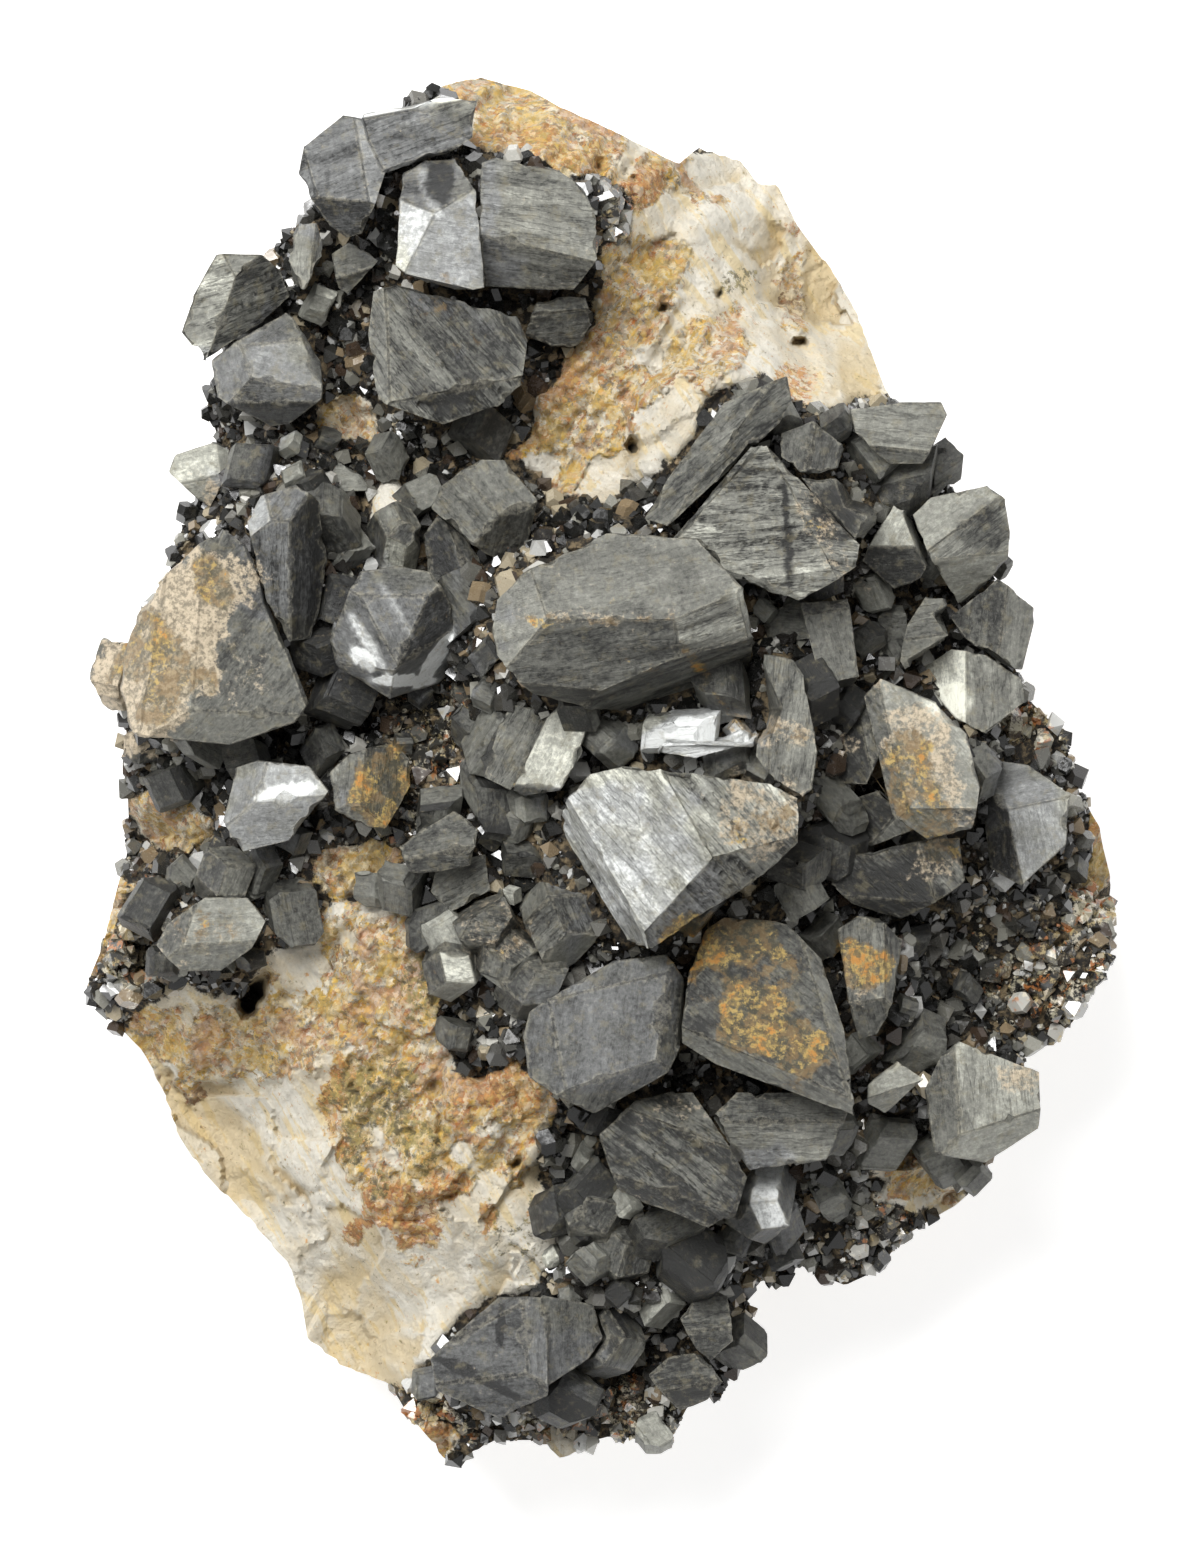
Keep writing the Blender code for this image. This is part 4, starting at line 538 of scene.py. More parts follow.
def inside_rim(x, y, rim, margin):
    """Whether places lie inside the rock's rim by a margin."""
    reach = np.interp(np.arctan2(y, x) % math.tau, np.linspace(0, math.tau, RIM_POINTS + 1),
                      [math.hypot(*p) for p in rim + rim[:1]])
    return np.hypot(x, y) < reach - margin


def rock_points(rim):
    """Staggered points all over the rock inside its rim."""
    rows = np.arange(GRID_Y[0], GRID_Y[-1], ROCK_STEP * 0.87)
    columns = np.arange(GRID_X[0], GRID_X[-1], ROCK_STEP)
    x, y = np.meshgrid(columns, rows)
    x = x + (np.arange(len(rows)) % 2)[:, None] * ROCK_STEP / 2
    x, y = x.ravel(), y.ravel()
    x = x + (lattice(np.arange(x.size), np.zeros(x.size), np.zeros(x.size)) - 0.5) * ROCK_STEP * 0.3
    keep = inside_rim(x, y, rim, ROCK_STEP * 0.6)
    return x[keep], y[keep]


def side_rows(top_ring):
    """The rows of points down the rock's broken sides, from below its rim to the flat back."""
    rows = []
    for row in range(1, SIDE_ROWS + 1):
        lower = []
        for corner in top_ring:
            away = Vector((corner[0], corner[1], 0)).normalized()
            level = corner[2] * (1 - row / SIDE_ROWS)
            hit = matrix_tree.ray_cast(away * SKY + Vector((0, 0, max(level, 0.05))), -away)[0]
            reach = min(hit.xy.length if hit is not None else 1e9, math.hypot(corner[0], corner[1]))
            lower.append((away.x * reach, away.y * reach, level))
        lower = np.array(lower)
        round_rim = np.arange(RIM_POINTS) * math.tau * 36 / RIM_POINTS
        broken = facets(round_rim, lower[:, 2], 8.0, 41) + facets(round_rim, lower[:, 2], 3.2, 51)
        chips = fractal(lower[:, 0] / 1.6, lower[:, 1] / 1.6, lower[:, 2] / 1.6, 3) * 0.3
        fades = min(1.0, row / 4, (SIDE_ROWS - row) / 4 + 0.1)
        inward = np.clip(1.0 + broken * 0.9 + chips, 0, 3.2) * fades
        lower[:, :2] *= (1 - inward / np.hypot(lower[:, 0], lower[:, 1]))[:, None]
        rows.append(lower)
    return rows


def rock_values(points, low):
    """How bare, how low in its relief (for painted shade), and how ochre, rusty and olive the rock is at the
    points of its top and then of its sides.
    """
    x, y, level = points.T
    side = np.arange(len(points)) >= len(low)
    depth = np.concatenate([np.zeros(len(low)), np.repeat(np.arange(SIDE_ROWS) / SIDE_ROWS, RIM_POINTS)])
    uncovered = ramp(depth + fractal(x / 5.0, y / 5.0, level / 5.0, 3) * 0.22, 0.3, 0.42)
    stain = fractal(x / 9.0, y / 9.0, level / 6.0, 3)
    return {
        "bare": np.where(side, np.maximum(uncovered, bareness(x, y)), bareness(x, y)),
        "low": np.concatenate([low, np.full(len(points) - len(low), 0.2)]),
        "ochre": np.where(side, ramp(stain, 0.0, 0.5), spots(x, y, OCHRE_SPOTS, 0.6)),
        "rust": np.where(side, ramp(stain, 0.55, 0.9) * 0.8, spots(x, y, RUST_SPOTS, 0.8)),
        "olive": np.where(side, ramp(-stain, 0.6, 0.9) * 0.8, spots(x, y, OLIVE_SPOTS, 0.8)),
    }


def build_rock(finish, rim):
    """The rock: a finely broken top, rough sides and the flat back."""
    x, y = rock_points(rim)
    rim_x, rim_y = (np.array(c) for c in zip(*rim))
    x, y = np.concatenate([rim_x, x]), np.concatenate([rim_y, y])
    edges = [(i, (i + 1) % RIM_POINTS) for i in range(RIM_POINTS)]
    flat, _, faces, origin, *_ = delaunay_2d_cdt([Vector(p) for p in zip(x, y)], edges, [], 1, 1e-5)
    x, y = (np.array(c) for c in zip(*flat))
    bare = bareness(x, y)
    relief, low = rock_relief(x, y, bare)
    z = np.minimum(np.maximum(ground_height(x, y) + relief, 1.0), cad_high.z / MM)
    slot = {source: i for i, inputs in enumerate(origin) for source in inputs}
    points = np.stack([x, y, z], 1)
    ring = [slot[i] for i in range(RIM_POINTS)]
    all_points = [points, *side_rows(points[ring])]
    all_faces = [list(f) for f in faces]
    for start in len(points) + np.arange(SIDE_ROWS) * RIM_POINTS:
        lower = list(range(start, start + RIM_POINTS))
        for i in range(RIM_POINTS):
            j = (i + 1) % RIM_POINTS
            all_faces.append([ring[i], lower[i], lower[j], ring[j]])
        ring = lower
    all_faces.append(ring[::-1])
    points = np.concatenate(all_points)
    piece = add_piece("rock", points, all_faces, finish, rock_values(points, low))
    face_outwards(piece)
    shade(piece, 60)
    return piece


def face_outwards(piece):
    """Turn every face of a closed piece outwards."""
    mesh = bmesh.new()
    mesh.from_mesh(piece.data)
    bmesh.ops.recalc_face_normals(mesh, faces=mesh.faces[:])
    mesh.to_mesh(piece.data)
    mesh.free()


def add_piece(name, points, faces, finish, values=None):
    """A named object from points in millimetres, with a material and values at its points."""
    data = bpy.data.meshes.new(name)
    data.from_pydata((np.asarray(points) * MM).tolist(), [], faces)
    for label, numbers in (values or {}).items():
        numbers = np.asarray(numbers, np.float32)
        if numbers.ndim == 2:
            data.attributes.new(label, "FLOAT_VECTOR", "POINT").data.foreach_set("vector", numbers.ravel())
        else:
            data.attributes.new(label, "FLOAT", "POINT").data.foreach_set("value", numbers)
    data.materials.append(finish)
    item = bpy.data.objects.new(name, data)
    bpy.context.scene.collection.objects.link(item)
    return item


def shade(item, angle):
    """Smooth shading with sharp edges where faces meet at more than the angle."""
    item.data.shade_smooth()
    item.data.set_sharp_from_angle(angle=math.radians(angle))


def flat_faces(node):
    """A node's mesh in millimetres with the triangles of each flat face joined."""
    mesh = bmesh.new()
    mesh.from_mesh(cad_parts[node].data)
    bmesh.ops.scale(mesh, vec=(1 / MM, 1 / MM, 1 / MM), verts=mesh.verts[:])
    bmesh.ops.remove_doubles(mesh, verts=mesh.verts[:], dist=0.03)
    bmesh.ops.dissolve_limit(mesh, angle_limit=math.radians(2), verts=mesh.verts[:], edges=mesh.edges[:])
    bmesh.ops.recalc_face_normals(mesh, faces=mesh.faces[:])
    return mesh


def inset_corner(loop, normal, width):
    """The corner of a face moved in from both its edges by the width of the worn edge."""
    spot = loop.vert.co
    before = spot - loop.link_loop_prev.vert.co
    after = loop.link_loop_next.vert.co - spot
    width = min(width, 0.3 * before.length, 0.3 * after.length)
    one = normal.cross(before).normalized()
    two = normal.cross(after).normalized()
    return spot + (one + two) * width / max(1 + one.dot(two), 0.45)


def step_relief(u, v, seed):
    """The growth steps of a striated face, along u and across v, and how its fine ridges and grooves run,
    which paints the ridges lighter and the grooves darker: painted light and shade.
    """
    across = v + noise(u / 4.0, v / 4.0, seed + 0.5) * 0.6
    broad = fractal(u / 12.0, across / 2.2, seed + 1.5, 2)
    steps = np.round(broad * 3) / 3
    ribs = noise(u / 6.0, across / 0.7, seed + 2.5)
    grooves = ramp(np.abs(noise(u / 9.0, across / 1.4, seed + 4.5)), 0.0, 0.2) - 1
    chips = noise(u / 1.1, v / 0.6, seed + 3.5)
    relief = steps * 0.16 + ribs * 0.07 + grooves * 0.16 + chips * 0.05 - 0.08
    return relief, np.clip(0.6 + ribs * 0.6 + chips * 0.3 + grooves * 0.7, 0, 1)


def crust_relief(points, dust):
    """Lumps of rust and ochre crust where a crystal is dusty."""
    x, y, z = points.T
    return fractal(x / 1.3, y / 1.3, z / 1.3, 3) * 0.22 * ramp(dust, 0.3, 1.0)


class Skin:
    """The points and triangles of dressed crystals, and the values at their points."""

    def __init__(self):
        self.points = []
        self.faces = []
        self.values = {}
        self.count = 0

    def add(self, points, **values):
        """Store points with a number each, or one number for all, and return their numbers."""
        first = self.count
        self.count += len(points)
        self.points.append(points)
        for label, numbers in values.items():
            numbers = np.full(len(points), numbers) if np.isscalar(numbers) else numbers
            self.values.setdefault(label, []).append(numbers)
        return list(range(first, self.count))


def grain_direction(face, bearing):
    """The direction of the striation in a face: the given bearing, or along its longest edge."""
    if bearing is None:
        longest = max(face.edges, key=lambda edge: edge.calc_length())
        along = longest.verts[1].co - longest.verts[0].co
    else:
        turn = math.radians(bearing)
        along = Vector((math.cos(turn), math.sin(turn), 0))
    along = along - face.normal * along.dot(face.normal)
    if along.length < 1e-3:
        along = face.normal.orthogonal()
    return along.normalized()


def lattice_in(outline, across_step, along_step, seed):
    """Staggered points inside a polygon, clear of its edges."""
    low, high = outline.min(0), outline.max(0)
    rows = np.arange(low[1] + across_step / 2, high[1], across_step)
    columns = np.arange(low[0] - along_step, high[0] + along_step, along_step)
    if not len(rows) or not len(columns):
        return np.zeros((0, 2))
    u, v = np.meshgrid(columns, rows)
    u = u + (np.arange(len(rows)) % 2)[:, None] * along_step / 2
    u, v = u.ravel(), v.ravel()
    dice = np.random.default_rng(seed)
    u = u + dice.uniform(-0.2, 0.2, u.size) * along_step
    v = v + dice.uniform(-0.15, 0.15, v.size) * across_step
    keep = inside_distance(u, v, [tuple(p) for p in outline]) > across_step * 0.6
    return np.stack([u[keep], v[keep]], 1)


def chip_size(points):
    """How far a crystal's edge is chipped away at its points."""
    x, y, z = points.T / 1.4
    return np.maximum(0.0, fractal(x, y, z, 2) - 0.25)


def face_tone(face, tones_and_light, dice):
    """How light a face is: by the table of tones, mostly painted light, shade and reflection, where a place
    of it lies on the face, and otherwise at random.
    """
    if face.normal.z > SEEN_ABOVE:
        outline = [(vert.co.x, vert.co.y) for vert in face.verts]
        for x, y, tone in tones_and_light:
            if inside_distance(x, y, outline) > 0:
                return tone
    return dice.uniform(*OTHER_TONES)


def face_rim(face, corners, along, across):
    """The points round a face on the inner side of its worn and chipped edges, and the loop of each."""
    rim, owners = [], []
    for loop in face.loops:
        start, end = np.array(corners[loop]), np.array(corners[loop.link_loop_next])
        length = loop.edge.calc_length()
        steps = max(1, math.ceil(length / EDGE_STEP))
        share = (np.arange(steps) / steps)[:, None]
        edge = np.array(loop.vert.co) * (1 - share) + np.array(loop.link_loop_next.vert.co) * share
        bite = np.minimum(chip_size(edge), length * 0.12)[:, None] * np.sin(math.pi * share)
        inward = np.array(face.normal.cross(corners[loop.link_loop_next] - corners[loop]).normalized())
        line = start * (1 - share) + end * share + inward * bite
        rim.append(np.stack([line @ np.array(along), line @ np.array(across)], 1))
        owners += [loop] * steps
    return np.concatenate(rim), owners


def fill_face(skin, flat, rim_count, numbers):
    """Add the triangles between the points of a face, of which those of its rim come first."""
    outline = [list(range(rim_count))]
    _, _, triangles, origin, *_ = delaunay_2d_cdt([Vector(p) for p in flat], [], outline, 1, 1e-6)
    for triangle in triangles:
        if all(origin[i] for i in triangle):
            skin.faces.append([numbers[origin[i][0]] for i in triangle])


def dress_face(skin, face, corners, seed, bearing, depth, wear, tones_and_light):
    """One flat face of a crystal as a striated skin; returns the numbers of its rim's points by loop."""
    normal = face.normal.copy()
    along = grain_direction(face, bearing)
    across = normal.cross(along)
    level = normal.dot(corners[face.loops[0]])
    rim, owners = face_rim(face, corners, along, across)
    coarse = 1.0 if normal.z > UPWARD else SIDE_SPACING
    inner = np.zeros((0, 2))
    if normal.z > UNDERSIDE:
        inner = lattice_in(rim, ACROSS * coarse, ALONG * coarse, seed)
    flat = np.concatenate([rim, inner])
    dice = random.Random(seed)
    polish = dice.random()
    # The face's tone: mostly painted light, shade and reflection from the table
    tone = face_tone(face, tones_and_light, dice)
    depth = depth * (1.2 - 0.8 * polish)
    relief, ridges = step_relief(flat[:, 0], flat[:, 1], seed % 97)
    relief = relief * depth
    solid = flat[:, :1] * np.array(along) + flat[:, 1:] * np.array(across) + level * np.array(normal)
    relief = relief + crust_relief(solid, spots(solid[:, 0], solid[:, 1], DUST, 0.5))
    solid = solid + relief[:, None] * np.array(normal)
    grain = np.stack([flat[:, 0], flat[:, 1], np.full(len(flat), float(seed % 97))], 1)
    # Rim points carry the edge's wear, which also paints a highlight along the edge
    edge = np.where(np.arange(len(flat)) < len(rim), wear if len(inner) > 4 else 0.0, 0.0)
    numbers = skin.add(solid, grain=grain, wear=edge, polish=polish, coarse=depth, tone=tone, ridges=ridges)
    fill_face(skin, flat, len(rim), numbers)
    return {loop: [numbers[i] for i, owner in enumerate(owners) if owner == loop] for loop in face.loops}


def dress_crystal(skin, mesh, bearing, depth, seed, wear=1.0, tones_and_light=()):
    """Add a crystal's skin: striated faces joined by worn edges and corners."""
    corners = {}
    for face in mesh.faces:
        for loop in face.loops:
            corners[loop] = inset_corner(loop, face.normal, EDGE_WIDTH * wear)
    rims = {}
    for index, face in enumerate(mesh.faces):
        rims.update(dress_face(skin, face, corners, seed * 131 + index * 7, bearing, depth, wear, tones_and_light))
    join_faces(skin, mesh, rims)
    mesh.free()


def join_faces(skin, mesh, rims):
    """Join a crystal's faces along its worn edges and at its corners."""
    for edge in mesh.edges:
        if len(edge.link_loops) == 2:
            one, two = (rims[loop] + rims[loop.link_loop_next][:1] for loop in edge.link_loops)
            two = two[::-1]
            for k in range(len(one) - 1):
                skin.faces.append([one[k + 1], one[k], two[k], two[k + 1]])
    for vert in mesh.verts:
        loop = vert.link_loops[0]
        ring = []
        for _ in range(len(vert.link_loops)):
            ring.append(rims[loop][0])
            loop = loop.link_loop_prev.link_loop_radial_next
        if len(ring) > 2:
            skin.faces.append(ring)


def crystal_piece(name, skin, finish):
    """The object of dressed crystals, with where they are dusty, stained or dark, and their painted
    highlights and glints, from the tables.
    """
    points = np.concatenate(skin.points)
    x, y = points[:, 0], points[:, 1]
    values = {label: np.concatenate(numbers) for label, numbers in skin.values.items()}
    for label, table in (("dust", DUST), ("stain", STAIN), ("slate", SLATE)):
        values[label] = spots(x, y, table, 0.5)
    # The tone takes the painted highlights and glints, and the darker places and cracks
    values["tone"] = values["tone"] + spots(x, y, PAINTED_HIGHLIGHTS, 0.15) - spots(x, y, DARK, 0.3)
    piece = add_piece(name, points, skin.faces, finish, values)
    shade(piece, 25)
    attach(piece, "root")
    return piece


def build_crystals(finish):
    """Every crystal of the frame with its striated faces and worn edges."""
    for index, node in enumerate(GARNET_NODES):
        skin = Skin()
        name = node.removeprefix("garnet_")
        relief, tones_and_light = RELIEF.get(name, USUAL_RELIEF), FACE_TONES_AND_LIGHT.get(name, ())
        dress_crystal(skin, flat_faces(node), GRAIN.get(name), relief, SEED + index, 1.0, tones_and_light)
        piece = crystal_piece("crystal_" + name, skin, finish)
        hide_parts(node)


def small_crystal(spot, reach, stretch, bearing, dice):
    """A bmesh of one small blocky garnet, in millimetres, a little longer along its bearing."""
    block = [dice.uniform(0.6, 1.0) for _ in SQUARE]
    mesh = cut_garnet(SQUARE + RHOMB, block + [dice.uniform(0.8, 1.25) for _ in RHOMB])
    turn = Quaternion([1, *(dice.gauss(0, 0.35) for _ in range(3))]).normalized().to_matrix().to_4x4()
    long = Matrix.Diagonal((reach * stretch, reach, reach, 1))
    aim = Matrix.Rotation(math.radians(bearing), 4, "Z") @ Matrix.Rotation(dice.uniform(-0.5, 0.1), 4, "Y")
    bmesh.ops.transform(mesh, matrix=Matrix.Translation(spot) @ aim @ long @ turn, verts=mesh.verts[:])
    bmesh.ops.recalc_face_normals(mesh, faces=mesh.faces[:])
    mesh.normal_update()
    return mesh


def filler_rows(rim):
    """Random middling crystals where a gap between the large ones has room for them."""
    dice = random.Random(SEED + 3)
    rows = []
    while len(rows) < FILLERS:
        x, y = dice.uniform(-42, 42), dice.uniform(-56, 56)
        reach = dice.uniform(*FILLER_REACH)
        taken = MIDDLING + rows
        gap = all(math.hypot(x - row[0], y - row[1]) > (reach + row[2]) * 0.8 for row in taken)
        fits = inside_rim(np.array([x]), np.array([y]), rim, reach * 0.8)[0]
        covered = fits and gap and bareness(np.array([x]), np.array([y]))[0] < 0.3
        if covered and clear_of_crystals(x, y, ground_height(x, y) + reach):
            rows.append((x, y, reach, dice.uniform(1.0, 1.6), dice.uniform(0, 180), dice.uniform(-0.8, 0.3)))
    return rows


def build_middling(finish, rim):
    """The middling crystals between the large ones."""
    dice = random.Random(SEED + 4)
    skin = Skin()
    for index, (x, y, reach, stretch, bearing, tone) in enumerate(MIDDLING + filler_rows(rim)):
        spot = Vector((x, y, float(ground_height(x, y)) + reach * 0.35))
        first = len(skin.values.get("tone", []))
        dress_crystal(skin, small_crystal(spot, reach, stretch, bearing, dice), None, 0.4, 400 + index, 0.5)
        # Each crystal's tone lightens or darkens its faces; the palest are painted glints
        for face in range(first, len(skin.values["tone"])):
            skin.values["tone"][face] = skin.values["tone"][face] + tone * 0.45
    crystal_piece("crystals_middling", skin, finish)


SIGNS = list(product((1, -1), repeat=2))
RHOMB = [Vector((*signs[:k], 0, *signs[k:])).normalized() for k in (2, 1, 0) for signs in SIGNS]
SQUARE = [Vector([sign * (axis == k) for axis in range(3)]) for k in range(3) for sign in (1, -1)]
CORNERS = [Vector(signs).normalized() for signs in product((1, -1), repeat=3)]


def cut_garnet(normals, reach):
    """A bmesh of one small garnet whose faces look along the normals and lie at the given distances."""
    mesh = bmesh.new()
    bmesh.ops.create_cube(mesh, size=6.0)
    for normal, distance in zip(normals, reach):
        everything = mesh.verts[:] + mesh.edges[:] + mesh.faces[:]
        bmesh.ops.bisect_plane(mesh, geom=everything, dist=1e-4, plane_co=normal * distance,
                               plane_no=normal, clear_outer=True)
        rim = [edge for edge in mesh.edges if edge.is_boundary]
        if rim:
            bmesh.ops.contextual_create(mesh, geom=rim)
    bmesh.ops.remove_doubles(mesh, verts=mesh.verts[:], dist=0.02)
    bmesh.ops.recalc_face_normals(mesh, faces=mesh.faces[:])
    return mesh


def unit_garnet(normals, reach):
    """Points and triangles of one small garnet."""
    mesh = cut_garnet(normals, reach)
    bmesh.ops.triangulate(mesh, faces=mesh.faces[:])
    mesh.verts.index_update()
    points = np.array([v.co for v in mesh.verts])
    faces = np.array([[v.index for v in face.verts] for face in mesh.faces])
    mesh.free()
    return points, faces


def garnet_shapes():
    """A few small garnets, each grown a little unevenly: eight-sided chips, cut blocks and rounder ones."""
    dice = random.Random(SEED + 5)
    chips = [unit_garnet(CORNERS, [dice.uniform(0.4, 0.85) for _ in CORNERS]) for _ in range(10)]
    cuts = SQUARE + CORNERS[:3]
    blocks = [unit_garnet(cuts, [dice.uniform(0.45, 1.0) for _ in cuts]) for _ in range(4)]
    return chips + blocks + [unit_garnet(RHOMB, [dice.uniform(0.72, 1.15) for _ in RHOMB]) for _ in range(3)]


def shelter(point):
    """How much of the sky the crystals hide from a place, from 0 to 1, which darkens the druse there as
    painted shade.
    """
    around = [Vector((math.cos(turn), math.sin(turn), 1.1)) for turn in (0.4, 1.7, 2.9, 4.2, 5.4)]
    return sum(garnet_tree.ray_cast(point, away)[0] is not None for away in around) / len(around)


def clear_of_crystals(x, y, z):
    """Whether no crystal of the frame stands over a place."""
    over = height_under_sky(garnet_tree, x, y)
    return over is None or over < z


def listed(items, name, width, kind):
    """A property of all the items, one row for each."""
    numbers = np.empty(len(items) * width, kind)
    items.foreach_get(name, numbers)
    return numbers.reshape(-1, width)


def surface_points(rock, count):
    """Random places on the rock where it is covered in druse."""
    mesh = rock.data
    mesh.calc_loop_triangles()
    corners = listed(mesh.vertices, "co", 3, float) / MM
    bare = listed(mesh.attributes["bare"].data, "value", 1, float).ravel()
    triangles = listed(mesh.loop_triangles, "vertices", 3, int)
    a, b, c = (corners[triangles[:, i]] for i in range(3))
    normal = np.cross(b - a, c - a)
    area = np.linalg.norm(normal, axis=1)
    chance = area * (bare[triangles].max(1) < 0.4) * (corners[triangles][:, :, 2].max(1) > 1.5)
    dice = np.random.default_rng(SEED + 8)
    pick = dice.choice(len(triangles), count, p=chance / chance.sum())
    one, two = dice.random((2, count, 1))
    flip = one + two > 1
    one, two = np.where(flip, 1 - one, one), np.where(flip, 1 - two, two)
    spots_on = a[pick] + (b[pick] - a[pick]) * one + (c[pick] - a[pick]) * two
    return spots_on, normal[pick] / area[pick][:, None]


def seen(point):
    """Whether a place is clear of the crystals of the frame, and shows from above or from its side."""
    near, normal, _, away = garnet_tree.find_nearest(point)
    if (point - near).dot(normal) < 0 and away < 8:
        return False
    if garnet_tree.ray_cast(point, -DOWN)[0] is None:
        return True
    outward = Vector((point.x, point.y, 0)).normalized()
    return garnet_tree.ray_cast(point, outward)[0] is None


def build_druse(finish, rock):
    """Thousands of small black garnets in the gaps, on the druse patches and down the rock's flanks."""
    shapes = garnet_shapes()
    dice = random.Random(SEED + 6)
    parts = [[], [], []]
    for spot, normal in zip(*surface_points(rock, DRUSE_TRIES)):
        radius = DRUSE_LEAST + DRUSE_SPREAD * dice.random() ** 3.0
        if sum(map(len, parts)) >= DRUSE_COUNT or not seen(Vector(spot)):
            continue
        shape, triangles = dice.choice(shapes)
        turn = Quaternion([dice.gauss(0, 1) for _ in range(4)]).normalized().to_matrix()
        spot = spot + normal * radius * dice.uniform(-0.2, 0.8)
        if spot[2] < radius + 0.3:
            continue
        part = sum(spot[1] <= border for border in DRUSE_BORDERS)
        # Sheltered druse crystals pick darker colours: painted shade
        polish = dice.random() ** (1 + 2 * shelter(Vector(spot)))
        parts[part].append((shape @ np.array(turn).T * radius + spot, triangles, polish))
    for name, crystals in zip(("upper", "middle", "lower"), parts):
        druse_piece("glitter_" + name, crystals, finish)


def druse_piece(name, crystals, finish):
    """One piece of druse from its crystals' points, triangles and polish, which picks each crystal's colour,
    darker where sheltered as painted shade.
    """
    points = np.concatenate([shape for shape, _, _ in crystals])
    polish = np.concatenate([np.full(len(shape), polish) for shape, _, polish in crystals])
    starts = np.cumsum([0] + [len(shape) for shape, _, _ in crystals])
    faces = np.concatenate([triangles + start for (_, triangles, _), start in zip(crystals, starts)])
    dust = spots(points[:, 0], points[:, 1], DRUSE_DUST, 0.6)
    piece = add_piece(name, points, faces.tolist(), finish, {"polish": polish, "dust": dust})
    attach(piece, "root")
    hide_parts(*DRUSE_NODES)


class Nodes:
    """Short hand for building a material's nodes."""

    def __init__(self, name):
        self.material = bpy.data.materials.new(name)
        self.material.use_nodes = True
        self.tree = self.material.node_tree

    def put(self, socket, value):
        """Link a socket to a node's output, or set it to a number, vector or colour."""
        if isinstance(value, bpy.types.NodeSocket):
            self.tree.links.new(value, socket)
        else:
            socket.default_value = (*value, 1) if socket.type == "RGBA" else value

    def finish(self, inputs):
        """The material, with its shader's inputs put in."""
        for name, value in inputs.items():
            self.put(self.tree.nodes["Principled BSDF"].inputs[name], value)
        return self.material

    def add(self, kind, inputs, output=0, **settings):
        """The output of a new node with these inputs and settings."""
        node = self.tree.nodes.new("ShaderNode" + kind)
        for name, value in settings.items():
            setattr(node, name, value)
        for name, value in inputs.items():
            self.put(node.inputs[name], value)
        return node.outputs[output]

    def attribute(self, name, output="Fac"):
        return self.add("Attribute", {}, output, attribute_name=name)

    def math(self, operation, one, two=0.0, clamp=False):
        return self.add("Math", {0: one, 1: two}, operation=operation, use_clamp=clamp)

    def varied(self, value, *noises):
        """A value, or the attribute of that name, with each noise added round it by its strength."""
        value = self.attribute(value) if isinstance(value, str) else value
        for noise, strength in noises:
            value = self.math("ADD", value, self.centred(noise, strength))
        return value

    def centred(self, value, strength):
        """A value from 0 to 1 made to lie evenly round 0."""
        return self.math("MULTIPLY", self.math("SUBTRACT", value, 0.5), strength)

    def ramp(self, value, low, high, start=0.0, end=1.0):
        inputs = {"Value": value, "From Min": low, "From Max": high, "To Min": start, "To Max": end}
        return self.add("MapRange", inputs, interpolation_type="SMOOTHSTEP")

    def mix(self, share, one, two):
        return self.add("Mix", {"Factor": share, "A": one, "B": two}, "Result", data_type="RGBA")

    def layered(self, colour, *layers):
        """A colour under others, each where its value goes from low to high and at most so strong."""
        for value, low, high, most, over in layers:
            colour = self.mix(self.ramp(value, low, high, 0.0, most), colour, over)
        return colour

    def place(self):
        """Object coordinates in millimetres."""
        return self.scaled(self.add("TexCoord", {}, "Object"), (1 / MM, 1 / MM, 1 / MM))

    def scaled(self, vector, scale):
        return self.add("Mapping", {"Vector": vector, "Scale": scale})

    def shifted(self, vector, amount):
        return self.add("VectorMath", {0: vector, 1: (amount, amount, amount)})

    def turned(self, vector, angle, scale):
        """A vector turned about Z by an angle in degrees, and then scaled."""
        turn = self.add("Mapping", {"Vector": vector, "Rotation": (0, 0, math.radians(angle))})
        return self.scaled(turn, scale)

    def noise(self, vector, scale, detail=3.0, rough=0.55):
        inputs = {"Vector": vector, "Scale": scale, "Detail": detail, "Roughness": rough}
        return self.add("TexNoise", inputs, "Fac")

    def striae(self, grain, scale, detail, rough):
        """Noise drawn out along the grain."""
        return self.noise(self.scaled(grain, scale), 1.0, detail, rough)

    def lines(self, grain, scale, width):
        """1 along thin wandering lines in the grain, and 0 beside them."""
        away = self.math("ABSOLUTE", self.math("SUBTRACT", self.striae(grain, scale, 4.0, 0.6), 0.5))
        return self.math("SUBTRACT", 1.0, self.ramp(away, 0.0, width))

    def grains(self, vector, scale):
        """A random number from 0 to 1 for each small irregular grain."""
        bent = self.add("TexNoise", {"Vector": vector, "Scale": scale * 1.5}, "Color")
        place = self.add("VectorMath", {0: bent, 1: (0.9, 0.9, 0.9), 2: vector}, operation="MULTIPLY_ADD")
        colour = self.add("TexVoronoi", {"Vector": place, "Scale": scale}, "Color")
        return self.add("SeparateColor", {0: colour})

    def blend(self, value, stops, interpolation="LINEAR"):
        """The colour that belongs to a number from 0 to 1, by stops with a position and a colour each."""
        node = self.tree.nodes.new("ShaderNodeValToRGB")
        node.color_ramp.interpolation = interpolation
        elements = node.color_ramp.elements
        while len(elements) < len(stops):
            elements.new(0.5)
        for index, (position, colour) in enumerate(stops):
            elements[index].position = position
            elements[index].color = (*colour, 1)
        self.put(node.inputs[0], value)
        return node.outputs[0]

